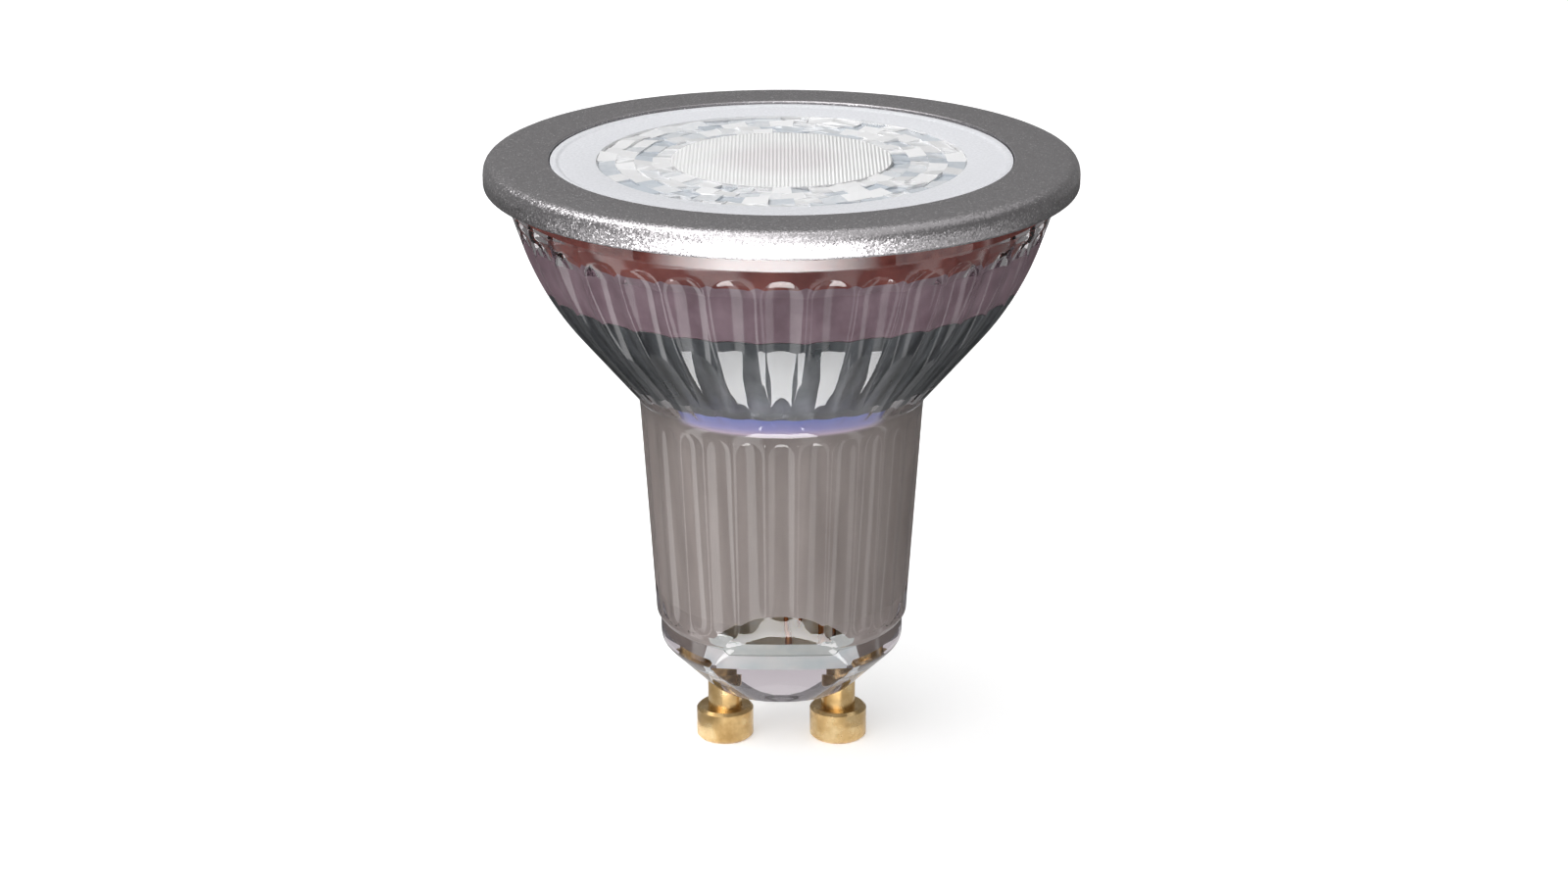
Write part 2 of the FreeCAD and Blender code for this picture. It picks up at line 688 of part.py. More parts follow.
def plate_holes(body, name, lead_radius, top):
    """Two screw holes and two lead holes, cut up from below a plate to its top."""
    sketch = sketch_on(body, "XY_Plane", f"{name}_holes_line")
    for sign in ("", "-"):
        ring_line(sketch, "0", f"{sign}{SCREW_Y}", "screw_radius + screw_clearance")
        ring_line(sketch, f"{sign}led_pin_offset", LED_PIN_Y, lead_radius)
    pocket(body, sketch, f"{name}_holes", top, flip=True)


def led_board():
    """Round metal-core board on the dish's floor."""
    body = lathe("led_board", [
        ("0", DISH_FLOOR),
        (BOARD_R, DISH_FLOOR),
        (BOARD_R, BOARD_TOP),
        ("0", BOARD_TOP),
    ])
    plate_holes(body, "board", "led_pin_radius + led_pin_clearance", BOARD_TOP)


def light_source():
    """Square white carrier with a round well, and the disc of light-giving gel cast in the well."""
    body = new_body("led_substrate")
    sketch = sketch_on(body, "XY_Plane", "substrate_line", base=("0", "0", BOARD_TOP))
    half = "substrate_width / 2"
    block_line(sketch, f"-{half}", half, f"-{half}", half)
    pad(body, sketch, "substrate_block", "substrate_thickness")
    well = sketch_on(body, "XY_Plane", "substrate_well_line", base=("0", "0", SUBSTRATE_TOP))
    ring_line(well, "0", "0", "phosphor_radius")
    pocket(body, well, "substrate_well", "substrate_well_depth")
    disc = DOC.addObject("Part::Cylinder", "led_phosphor")
    bind(
        disc, Radius="phosphor_radius", Height="substrate_well_depth",
        Placement__Base__z=f"{SUBSTRATE_TOP} - substrate_well_depth",
    )
    PARTS.append(disc)


def board_screws():
    """The two screws of the LED board, one group of separate solids."""
    screws = []
    for side, sign in (("back", 1), ("front", -1)):
        screw = lathe(f"board_screw_{side}", [
            ("0", DISH_UNDER),
            ("screw_radius", DISH_UNDER),
            ("screw_radius", BOARD_TOP),
            ("screw_head_radius", BOARD_TOP),
            ("screw_head_radius", f"{BOARD_TOP} + screw_head_height"),
            ("0", f"{BOARD_TOP} + screw_head_height"),
        ])
        slot = sketch_on(screw, "XY_Plane", f"screw_slot_{side}", base=("0", "0", f"{BOARD_TOP} + screw_head_height"))
        block_line(slot, "-screw_head_radius", "screw_head_radius", "-screw_slot_width / 2", "screw_slot_width / 2")
        pocket(screw, slot, f"screw_slot_cut_{side}", "screw_slot_depth")
        bind(screw, Placement__Base__y=f"{sign} * {SCREW_Y}")
        PARTS.remove(screw)
        screws.append(screw)
    group = DOC.addObject("Part::Compound", "board_screws")
    group.Links = screws
    PARTS.append(group)


def led_pins():
    """Straight leads soldered to the driver board's face, up through the dish and the LED board."""
    top = f"({BOARD_TOP} + led_pin_rise)"
    low = f"({DRIVER_FOOT} + driver_board_height - led_pin_lap)"
    for side, sign in (("left", -1), ("right", 1)):
        pin = DOC.addObject("Part::Cylinder", f"led_pin_{side}")
        bind(
            pin, Radius="led_pin_radius", Height=f"{top} - {low}", Placement__Base__x=f"{sign} * led_pin_offset",
            Placement__Base__y=LED_PIN_Y, Placement__Base__z=low,
        )
        PARTS.append(pin)


def driver_sleeve():
    """Tapered insulating sleeve that lines the stem and stands in the cap's cone, with an arch front and back."""
    foot = cavity_reach(SLEEVE_FOOT)
    body = lathe("driver_sleeve", [
        (f"{foot} - sleeve_clearance - sleeve_wall", SLEEVE_FOOT),
        (f"{foot} - sleeve_clearance", SLEEVE_FOOT),
        (f"{CAVITY_TOP_R} - sleeve_clearance", CAVITY_TOP),
        (f"{INNER_NECK_R} - sleeve_clearance", INNER_NECK_Z),
        (f"{INNER_NECK_R} - sleeve_clearance", DISH_UNDER),
        (f"{INNER_NECK_R} - sleeve_clearance - sleeve_wall", DISH_UNDER),
        (f"{INNER_NECK_R} - sleeve_clearance - sleeve_wall", INNER_NECK_Z),
        (f"{CAVITY_TOP_R} - sleeve_clearance - sleeve_wall", CAVITY_TOP),
    ])
    arch = sketch_on(body, "XZ_Plane", "sleeve_arch_line")
    drop = "(sleeve_arch_radius - sqrt(sleeve_arch_radius^2 - sleeve_arch_half_width^2))"
    spring = f"({CAP_FLOOR} + sleeve_arch_top - {drop})"
    outline(arch, [
        ("-sleeve_arch_half_width", "pin_length"),
        ("sleeve_arch_half_width", "pin_length"),
        ("sleeve_arch_half_width", spring, "sleeve_arch_radius", "left"),
        ("0", f"{CAP_FLOOR} + sleeve_arch_top", "sleeve_arch_radius", "left"),
        ("-sleeve_arch_half_width", spring),
    ])
    through(body, arch, "sleeve_arches")


def driver_board():
    """Upright board with a narrow foot that stands in the sleeve's tapered end."""
    body = new_body("driver_board")
    sketch = sketch_on(body, "XZ_Plane", "driver_board_line", base=("0", "0", "driver_board_front"))
    shoulder = f"({DRIVER_FOOT} + driver_foot_height)"
    top = f"({DRIVER_FOOT} + driver_board_height)"
    outline(sketch, [
        ("-driver_foot_half_width", DRIVER_FOOT),
        ("driver_foot_half_width", DRIVER_FOOT),
        ("driver_foot_half_width", shoulder),
        ("driver_half_width", shoulder),
        ("driver_half_width", top),
        ("-driver_half_width", top),
        ("-driver_half_width", shoulder),
        ("-driver_foot_half_width", shoulder),
    ])
    pad(body, sketch, "driver_board_plate", "driver_board_thickness", flip=True)


def smoothing_capacitor():
    """Aluminium can with a crimped groove near its foot and a bevelled top edge."""
    low = f"({DRIVER_FOOT} + capacitor_z)"
    body = lathe("smoothing_capacitor", [
        ("0", low),
        ("capacitor_radius", low),
        ("capacitor_radius", f"{low} + 3 * capacitor_groove"),
        ("capacitor_radius - capacitor_groove", f"{low} + 4 * capacitor_groove"),
        ("capacitor_radius", f"{low} + 5 * capacitor_groove"),
        ("capacitor_radius", f"{low} + capacitor_height - capacitor_groove"),
        ("capacitor_radius - capacitor_groove", f"{low} + capacitor_height"),
        ("0", f"{low} + capacitor_height"),
    ])
    bind(body, Placement__Base__x="capacitor_x", Placement__Base__y=f"{DRIVER_BACK} + part_gap + capacitor_radius")


def inductor():
    """Ferrite drum with its axis across the board, and the copper winding between its flanges."""
    spool = [
        ("0", "0"),
        ("inductor_flange_radius", "0"),
        ("inductor_flange_radius", "inductor_flange_thickness"),
        ("inductor_core_radius", "inductor_flange_thickness"),
        ("inductor_core_radius", "inductor_length - inductor_flange_thickness"),
        ("inductor_flange_radius", "inductor_length - inductor_flange_thickness"),
        ("inductor_flange_radius", "inductor_length"),
        ("0", "inductor_length"),
    ]
    coil = [
        ("inductor_core_radius + part_gap", "inductor_flange_thickness + part_gap"),
        ("inductor_winding_radius", "inductor_flange_thickness + part_gap"),
        ("inductor_winding_radius", "inductor_length - inductor_flange_thickness - part_gap"),
        ("inductor_core_radius + part_gap", "inductor_length - inductor_flange_thickness - part_gap"),
    ]
    for label, corners in (("inductor_core", spool), ("inductor_winding", coil)):
        body = lathe(label, corners)
        body.Placement = FreeCAD.Placement(FreeCAD.Vector(), FreeCAD.Rotation(FreeCAD.Vector(1, 0, 0), -90))
        bind(
            body, Placement__Base__x="-inductor_x", Placement__Base__y=f"{DRIVER_BACK} + part_gap",
            Placement__Base__z=f"{DRIVER_FOOT} + inductor_z",
        )


def fuse_resistor():
    """Flameproof resistor with a cap on each end."""
    low = f"({DRIVER_FOOT} + fuse_z)"
    body = lathe("fuse_resistor", [
        ("0", low),
        ("fuse_radius", low),
        ("fuse_radius", f"{low} + fuse_cap_length"),
        ("fuse_neck_radius", f"{low} + 1.25 * fuse_cap_length"),
        ("fuse_neck_radius", f"{low} + fuse_length - 1.25 * fuse_cap_length"),
        ("fuse_radius", f"{low} + fuse_length - fuse_cap_length"),
        ("fuse_radius", f"{low} + fuse_length"),
        ("0", f"{low} + fuse_length"),
    ])
    bind(body, Placement__Base__x="fuse_x", Placement__Base__y=f"{DRIVER_BACK} + part_gap + fuse_radius")


def box(label, x, y, z, width, depth, height):
    """A block from its low corner, all given by expressions."""
    made = DOC.addObject("Part::Box", label)
    bind(
        made, Length=width, Width=depth, Height=height,
        Placement__Base__x=x, Placement__Base__y=y, Placement__Base__z=z,
    )
    return made


def film_capacitor():
    """Boxed capacitor behind the board."""
    made = box(
        "film_capacitor", "-film_x - film_width / 2", f"{DRIVER_BACK} + part_gap", f"{DRIVER_FOOT} + film_z",
        "film_width", "film_depth", "film_height",
    )
    PARTS.append(made)


def legged_package(label, prefix, place):
    """Moulded package on the board's front face, with a row of flat legs on each side."""
    front = f"(-driver_board_front - part_gap - {prefix}_depth)"
    low = f"({DRIVER_FOOT} + {place})"
    pieces = [box(
        f"{label}_case", f"-{prefix}_width / 2", front, low, f"{prefix}_width", f"{prefix}_depth", f"{prefix}_height",
    )]
    for row in range(int(value("chip_leg_count"))):
        height = f"{low} + {prefix}_height * ({row} + 0.5) / chip_leg_count - chip_leg_width / 2"
        for side, edge in (("left", f"-{prefix}_width / 2 - chip_leg_length"), ("right", f"{prefix}_width / 2")):
            pieces.append(box(
                f"{label}_leg_{side}_{row}", edge, "-driver_board_front - part_gap - chip_leg_thickness", height,
                "chip_leg_length", "chip_leg_thickness", "chip_leg_width",
            ))
    made = DOC.addObject("Part::MultiFuse", label)
    made.Shapes = pieces
    PARTS.append(made)


def mains_wires():
    """Copper leads from the pins' bores, which pass under the driver board's foot and run up its face."""
    wires = []
    low = f"({CAP_FLOOR} + pin_tail_rise - wire_embed)"
    rise = f"({CAP_FLOOR} + pin_tail_rise + wire_upright)"
    level = f"({rise} + wire_bend_radius)"
    for side, sign, end in (("left", -1, "wire_left_x"), ("right", 1, "wire_right_x")):
        across = f"({end} - {sign} * pin_pitch / 2)"
        sway = f"sqrt({across}^2 + {WIRE_Y}^2)"
        body = new_body(f"mains_wire_{side}")
        spine = sketch_on(body, "XZ_Plane", f"wire_path_{side}")
        outline(spine, [
            ("0", low),
            ("0", rise, "wire_bend_radius", "right"),
            ("wire_bend_radius", level),
            (f"{sway} - wire_bend_radius", level, "wire_bend_radius", "left"),
            (sway, f"{level} + wire_bend_radius"),
            (sway, f"{level} + wire_bend_radius + wire_lap"),
        ], closed=False)
        section = sketch_on(body, "XY_Plane", f"wire_section_{side}", base=("0", "0", low))
        ring_line(section, "0", "0", "wire_radius")
        made, before = feature(body, "PartDesign::AdditivePipe", f"wire_{side}", section)
        made.Spine = (spine, [])
        finish(body, made, before)
        body.Placement = FreeCAD.Placement(FreeCAD.Vector(), FreeCAD.Rotation(FreeCAD.Vector(0, 0, 1), 1))
        bind(body, Placement__Base__x=f"{sign} * pin_pitch / 2", Placement__Rotation__Angle=f"atan2({WIRE_Y}; {across})")
        wires.append(body)
    return wires


def base_potting(wires):
    """Sealing compound poured on the cap's floor round the flared pin tails and the wires' level runs."""
    top = f"({CAP_FLOOR} + potting_height)"
    body = lathe("potting_blank", [
        ("0", CAP_FLOOR),
        ("cap_floor_radius - potting_clearance", CAP_FLOOR),
        (f"{cavity_reach(top)} - potting_clearance", top),
        ("0", top),
    ])
    sketch = sketch_on(body, "XY_Plane", "potting_holes_line")
    for sign in ("", "-"):
        ring_line(sketch, f"{sign}pin_pitch / 2", "0", "pin_flare_radius + potting_clearance")
    pocket(body, sketch, "potting_holes", f"{CAP_FLOOR} + pin_tail_rise + potting_clearance", flip=True)
    PARTS.remove(body)
    for place, wire in zip(("potting_first_cut", "base_potting"), wires):
        cut = DOC.addObject("Part::Cut", place)
        cut.Base = body
        cut.Tool = wire
        body = cut
    PARTS.append(body)


def write_parts():
    """Stops at anything that failed, then writes one file per part."""
    DOC.recompute()
    failed = [item.Name for item in DOC.Objects if {"Invalid", "Error"} & set(item.State)]
    if failed:
        raise RuntimeError(f"failed objects: {failed}")
    for part in PARTS:
        if part.Shape.isNull() or not part.Shape.isValid():
            raise RuntimeError(f"bad shape: {part.Label}")
    os.makedirs("parts", exist_ok=True)
    for part in PARTS:
        part.Shape.exportStep(f"parts/{part.Label}.step")


fill_sheet()
for pin_side, pin_sign in (("left", -1), ("right", 1)):
    contact_pin(pin_side, pin_sign)
glass_body()
base_potting(mains_wires())
driver_sleeve()
driver_board()
smoothing_capacitor()
inductor()
film_capacitor()
fuse_resistor()
legged_package("bridge_rectifier", "rectifier", "rectifier_z")
legged_package("driver_chip", "chip", "chip_z")
heat_dish()
led_board()
light_source()
board_screws()
led_pins()
lens_holder()
rim_gasket()
lens()
front_ring()
write_parts()
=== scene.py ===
import math
import bpy
import numpy as np
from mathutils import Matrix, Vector


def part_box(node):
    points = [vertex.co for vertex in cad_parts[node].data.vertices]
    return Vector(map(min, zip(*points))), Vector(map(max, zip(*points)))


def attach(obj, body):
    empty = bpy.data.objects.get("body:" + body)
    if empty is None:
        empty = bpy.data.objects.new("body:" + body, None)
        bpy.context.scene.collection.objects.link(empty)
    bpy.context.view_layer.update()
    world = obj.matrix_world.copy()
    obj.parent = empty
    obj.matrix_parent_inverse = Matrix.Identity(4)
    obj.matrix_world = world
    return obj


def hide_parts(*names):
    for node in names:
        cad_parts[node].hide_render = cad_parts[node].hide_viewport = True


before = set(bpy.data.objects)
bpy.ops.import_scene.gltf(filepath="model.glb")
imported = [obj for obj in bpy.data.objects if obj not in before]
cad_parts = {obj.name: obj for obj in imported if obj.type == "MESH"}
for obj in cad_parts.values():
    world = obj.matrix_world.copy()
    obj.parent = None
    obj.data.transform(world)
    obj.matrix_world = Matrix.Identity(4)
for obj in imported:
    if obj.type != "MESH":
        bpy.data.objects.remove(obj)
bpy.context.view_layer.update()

MM = 0.001


# Contact pins: a pair of brass pins, turned from bar and flared into the cap, which carry the mains.
# Turned brass shows fine rings round the pin and a patchy brown tarnish from handling.
def linear(code):
    """An sRGB hex colour as linear RGBA: each channel through the inverse of the sRGB curve."""
    channels = [int(code[k:k + 2], 16) / 255 for k in (1, 3, 5)]
    return [c / 12.92 if c <= 0.04045 else ((c + 0.055) / 1.055) ** 2.4 for c in channels] + [1.0]


def add(tree, kind, links=None, **settings):
    """Adds one shader node. Settings are its own properties; links fill its inputs, by number or name,
    with a value or with another node's output."""
    node = tree.nodes.new(f"ShaderNode{kind}")
    for name, setting in settings.items():
        setattr(node, name, setting)
    for name, source in (links or {}).items():
        if isinstance(source, bpy.types.NodeSocket):
            tree.links.new(source, node.inputs[name])
        else:
            node.inputs[name].default_value = source
    return node


def surface(name, colour, roughness, **sockets):
    """A material with one Principled shader. Sockets are named as in Blender, with _ for each space."""
    material = bpy.data.materials.new(name)
    material.use_nodes = True
    shader = material.node_tree.nodes["Principled BSDF"]
    shader.inputs["Base Color"].default_value = linear(colour)
    shader.inputs["Roughness"].default_value = roughness
    for socket, level in sockets.items():
        shader.inputs[socket.replace("_", " ")].default_value = level
    return material, material.node_tree, shader


def dress(material, *names):
    """Puts a material in the slot of each CAD node named."""
    for name in names:
        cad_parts[name].data.materials[0] = material


def patches(tree, size, detail=3.0, stretch=(1, 1, 1)):
    """Soft random patches about this many metres across, 0 to 1, in the piece's own coordinates."""
    place = add(tree, "TexCoord").outputs["Object"]
    turned = add(tree, "Mapping", {"Vector": place, "Scale": [s / size for s in stretch]})
    return add(tree, "TexNoise", {"Vector": turned.outputs[0], "Scale": 1.0, "Detail": detail}).outputs[0]


def blend_of(tree, factor, *stops):
    """Colours at places along a factor, joined smoothly."""
    ramp = add(tree, "ValToRGB", {0: factor})
    band = ramp.color_ramp
    while len(band.elements) < len(stops):
        band.elements.new(0.5)
    for element, (place, code) in zip(band.elements, stops):
        element.position = place
        element.color = linear(code)
    return ramp.outputs[0]


def spread(tree, factor, low, high):
    """A factor from 0 to 1 taken to a range of numbers."""
    return add(tree, "MapRange", {0: factor, 3: low, 4: high}).outputs[0]


def drive(shader, socket, source):
    """Links a node's output to one socket of the shader."""
    shader.id_data.links.new(source, shader.inputs[socket])


def bumped(tree, shader, height, depth):
    """Relief of this many metres from a height of 0 to 1."""
    bump = add(tree, "Bump", {"Height": height, "Distance": depth, "Strength": 1.0})
    drive(shader, "Normal", bump.outputs[0])


TARNISH_PATCH = 1.6 * MM
TURNING_LINE = 0.12 * MM
brass, tree, shader = surface("turned brass", "#d4b98a", 0.26, Metallic=1.0)
tarnish = patches(tree, TARNISH_PATCH)
drive(shader, "Base Color", blend_of(tree, tarnish, (0.3, "#b3925f"), (0.5, "#d0b07c"), (0.75, "#e8d0a2")))
drive(shader, "Roughness", spread(tree, tarnish, 0.36, 0.2))
bumped(tree, shader, patches(tree, TURNING_LINE, 1.0, (0.02, 0.02, 1.0)), 0.004 * MM)
dress(brass, "contact_pin_left", "contact_pin_right")


# Sealing compound: pale two-part silicone, poured on the cap's floor round the pins and levelled by itself.
# It is satin, cloudy and faintly blue between the sleeve's arches, and taupe where the sleeve stands in it.
def two_tone(tree, share, first, second):
    """One colour where the share is 0 and another where it is 1."""
    return add(tree, "Mix", {0: share, 6: first, 7: second}, data_type="RGBA").outputs[2]


def along(tree, axis, mirrored=False):
    """The place along one axis of the part, in metres, or the distance from its middle."""
    place = add(tree, "SeparateXYZ", {0: add(tree, "TexCoord").outputs["Object"]}).outputs[axis]
    return add(tree, "Math", {0: place}, operation="ABSOLUTE").outputs[0] if mirrored else place


ARCH_HALF_WIDTH = 5.6 * MM
compound, tree, shader = surface("cast silicone", "#eef5f5", 0.35, Subsurface_Weight=0.15,
                                 Subsurface_Radius=[MM, MM, MM])
cloud = patches(tree, 3 * MM)
pale = blend_of(tree, cloud, (0.3, "#e6f2f3"), (0.7, "#fbfdfb"))
aside = along(tree, "X", mirrored=True)
beside = add(tree, "Math", {0: aside, 1: ARCH_HALF_WIDTH}, operation="GREATER_THAN").outputs[0]
drive(shader, "Base Color", two_tone(tree, beside, pale, linear("#8d837d")))
bumped(tree, shader, cloud, 0.05 * MM)
dress(compound, "base_potting")


# Mains wires and the inductor's winding: drawn copper under clear orange enamel.
# The wires come out of the compound beside the driver board; the winding's turns lie side by side.
copper, tree, shader = surface("enamelled copper", "#c9752f", 0.25, Metallic=0.6, Coat_Weight=0.5)
drive(shader, "Base Color", blend_of(tree, patches(tree, 0.8 * MM), (0.3, "#c06a22"), (0.7, "#e29a50")))
dress(copper, "mains_wire_left", "mains_wire_right")
WINDING_PITCH = 0.3 * MM
wound, tree, shader = surface("lacquered winding", "#b0622a", 0.35, Metallic=0.6)
turns = add(tree, "Math", {0: along(tree, "Y"), 1: WINDING_PITCH}, operation="PINGPONG").outputs[0]
bumped(tree, shader, turns, 1.0)
drive(shader, "Base Color", blend_of(tree, patches(tree, 0.6 * MM), (0.3, "#96501f"), (0.7, "#c4743a")))
dress(wound, "inductor_winding")


# Driver sleeve: taupe insulating plastic, moulded with a slight taper, which lines the glass stem.
# Matt, with faint flow marks along it, a painted violet reflection at its top and white inside.
DOWNWARD = 0.7


def inside_share(tree):
    """1 on faces that look to the axis or up, 0 on those that look out or down: the normal's part along a
    direction out from the axis and down is under nought, or not."""
    place = add(tree, "TexCoord").outputs["Object"]
    out = add(tree, "VectorMath", {0: place, 1: (1, 1, 0)}, operation="MULTIPLY").outputs[0]
    out = add(tree, "VectorMath", {0: out}, operation="NORMALIZE").outputs[0]
    out = add(tree, "VectorMath", {0: out, 1: (0, 0, DOWNWARD)}, operation="SUBTRACT").outputs[0]
    facing = add(tree, "NewGeometry").outputs["Normal"]
    part = add(tree, "VectorMath", {0: out, 1: facing}, operation="DOT_PRODUCT").outputs["Value"]
    return add(tree, "Math", {0: part, 1: 0.0}, operation="LESS_THAN").outputs[0]


WHITE_LACQUER = linear("#f1f1ee")
PAINTED_SHEEN_LOW, PAINTED_SHEEN_HALF_WIDTH, PAINTED_SHEEN_FADE = 31.6 * MM, 5 * MM, 8 * MM
PAINTED_SHEEN_GAIN = 5.0
SLEEVE_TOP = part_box("driver_sleeve")[1][2]
sleeve, tree, shader = surface("moulded taupe plastic", "#a59c96", 0.5)
flow = patches(tree, 4 * MM, 4.0, (1, 1, 0.25))
clay = blend_of(tree, flow, (0.3, "#a29993"), (0.7, "#b8afa9"))
# Painted reflection: a violet sheen painted into the colour in a band at the sleeve's top, strongest across
# the middle in x.
rise = add(tree, "MapRange", {0: along(tree, "Z"), 1: PAINTED_SHEEN_LOW, 2: SLEEVE_TOP}).outputs[0]
bloom_and_painted_sheen = blend_of(tree, rise, (0.0, "#a59c96"), (0.25, "#fbe9ff"), (0.55, "#c4c0ff"), (1.0, "#86a0ff"))
aside = along(tree, "X", mirrored=True)
painted_sheen_fade = add(tree, "MapRange", {0: aside, 1: PAINTED_SHEEN_HALF_WIDTH, 2: PAINTED_SHEEN_FADE, 3: PAINTED_SHEEN_GAIN, 4: 0.0}).outputs[0]
share = add(tree, "Math", {0: rise, 1: painted_sheen_fade}, operation="MULTIPLY", use_clamp=True).outputs[0]
outer = two_tone(tree, share, clay, bloom_and_painted_sheen)
drive(shader, "Base Color", two_tone(tree, inside_share(tree), outer, WHITE_LACQUER))
bumped(tree, shader, flow, 0.05 * MM)
dress(sleeve, "driver_sleeve")


# Driver board: cream paper laminate, sawn to shape, on edge in the sleeve.
# Its face shows the paper's faint cloud and fine saw marks across it.
laminate, tree, shader = surface("sawn paper laminate", "#e0d3a2", 0.5)
drive(shader, "Base Color", blend_of(tree, patches(tree, 1.5 * MM), (0.3, "#f3e7c0"), (0.7, "#fdf6de")))
bumped(tree, shader, patches(tree, 0.2 * MM, 1.0, (0.1, 1, 1)), 0.01 * MM)
dress(laminate, "driver_board")


# Parts on the driver board: capacitors, inductor core, fuse and packages, each in its usual finish.
# They are soldered to the board and hidden by the sleeve, so a mottled gloss is enough for them.
for name, colour, roughness, nodes in (
    ("shrunk sleeve on a can", "#2c2f38", 0.35, ["smoothing_capacitor"]),
    ("fired ferrite", "#2b2b2d", 0.6, ["inductor_core"]),
    ("dipped red epoxy", "#a33a22", 0.25, ["film_capacitor"]),
    ("dipped green enamel", "#6f9a8c", 0.45, ["fuse_resistor"]),
    ("moulded black epoxy", "#1c1c1e", 0.5, ["bridge_rectifier", "driver_chip"]),
):
    finish, tree, shader = surface(name, colour, roughness)
    mottle = patches(tree, 0.7 * MM)
    drive(shader, "Roughness", spread(tree, mottle, roughness - 0.08, roughness + 0.08))
    bumped(tree, shader, mottle, 0.02 * MM)
    dress(finish, *nodes)


# Heat dish: pressed aluminium that lines the lower bowl and takes heat from the LED board to the glass.
# Dull grey rolled metal with a slight haze drawn along the press direction, lacquered white inside.
dish, tree, shader = surface("pressed aluminium", "#6e7478", 0.3)
haze = patches(tree, 2 * MM, 3.0, (1, 1, 0.2))
metal = blend_of(tree, haze, (0.3, "#8d9498"), (0.7, "#aeb4b8"))
inner = inside_share(tree)
drive(shader, "Base Color", two_tone(tree, inner, metal, WHITE_LACQUER))
drive(shader, "Metallic", spread(tree, inner, 1.0, 0.0))
drive(shader, "Roughness", spread(tree, haze, 0.22, 0.4))
dress(dish, "heat_dish")


# LED board, light source, screws and leads: white lacquered metal core, fired ceramic with a yellow gel disc,
# plated screws and tinned wire. The board is screwed to the dish and the leads are soldered to it.
for name, nodes, roughness, grain, dark, pale in (
    ("white board lacquer", ["led_board"], 0.3, 2.0, "#e6e6e2", "#f4f4f1"),
    ("fired white ceramic", ["led_substrate"], 0.4, 0.6, "#eae9e2", "#f6f5f0"),
    ("cast phosphor gel", ["led_phosphor"], 0.3, 0.5, "#ecd47a", "#f5e7ab"),
):
    finish, tree, shader = surface(name, pale, roughness)
    cloud = patches(tree, grain * MM)
    drive(shader, "Base Color", blend_of(tree, cloud, (0.3, dark), (0.7, pale)))
    bumped(tree, shader, cloud, 0.01 * MM)
    dress(finish, *nodes)
plated, tree, shader = surface("zinc plating", "#b9bcc0", 0.3, Metallic=1.0)
drive(shader, "Roughness", spread(tree, patches(tree, 0.5 * MM), 0.22, 0.4))
dress(plated, "board_screws", "led_pin_left", "led_pin_right")


# Lens holder: mauve-grey moulded skirt between the dish and the lens.
# Satin plastic with a cloudy flow in it, which gives the upper bowl its colour. It is white inside, as the
# dish is, and its top is dipped in the red-brown silicone that beds it.
SEAL_LOW = 47.5 * MM
holder, tree, shader = surface("moulded mauve plastic", "#7f6770", 0.35)
cloud = patches(tree, 3 * MM)
mauve = blend_of(tree, cloud, (0.3, "#8a727c"), (0.7, "#a68e98"))
seal = blend_of(tree, cloud, (0.3, "#7a342d"), (0.7, "#a5564a"))
dipped = add(tree, "Math", {0: along(tree, "Z"), 1: SEAL_LOW}, operation="GREATER_THAN").outputs[0]
outer = two_tone(tree, dipped, mauve, seal)
drive(shader, "Base Color", two_tone(tree, inside_share(tree), outer, WHITE_LACQUER))
bumped(tree, shader, cloud, 0.05 * MM)
dress(holder, "lens_holder")


# Rim gasket: red-brown silicone angle ring between the glass rim and the lens.
# Matt rubber with a fine bloom on it.
gasket, tree, shader = surface("moulded red-brown silicone", "#7b3a33", 0.45)
bloom_and_painted_sheen = patches(tree, 1.2 * MM)
drive(shader, "Base Color", blend_of(tree, bloom_and_painted_sheen, (0.3, "#7a342d"), (0.7, "#a5564a")))
drive(shader, "Roughness", spread(tree, bloom_and_painted_sheen, 0.35, 0.55))
dress(gasket, "rim_gasket")


# Glass body: bowl, stem and cap block, pressed as one clear piece, scooped with flutes and fire-polished.
# The pins are set into its foot. Sleeve, dish and holder are bedded in clear adhesive, so its inner wall is
# drawn a hair past their outer faces. Clear resin, drawn as one with it, fills the cap to the arches' top.
def rounded(corners, steps=6):
    """A section through corners (distance from the axis, height, cut), in millimetres. At a corner with a
    cut, the points follow the parabola that leaves one side and joins the other that far from the corner."""
    places = np.array([corner[:2] for corner in corners], float)
    share = np.linspace(0, 1, steps)[:, None]
    section = []
    for k, corner in enumerate(corners):
        here, cut = places[k], corner[2]
        if not cut:
            section.append(here[None])
            continue
        before, after = (side - here for side in (places[k - 1], places[(k + 1) % len(places)]))
        first = here + cut * before / np.linalg.norm(before)
        last = here + cut * after / np.linalg.norm(after)
        section.append((1 - share) ** 2 * first + 2 * share * (1 - share) * here + share ** 2 * last)
    return np.concatenate(section)


def swept(reach, height, turn):
    """Points round the axis, in metres: x and y are the reach times the cosine and the sine of the turn."""
    reach, height, turn = np.broadcast_arrays(reach, height, turn)
    return np.stack([reach * np.cos(turn), reach * np.sin(turn), height], axis=-1) * MM


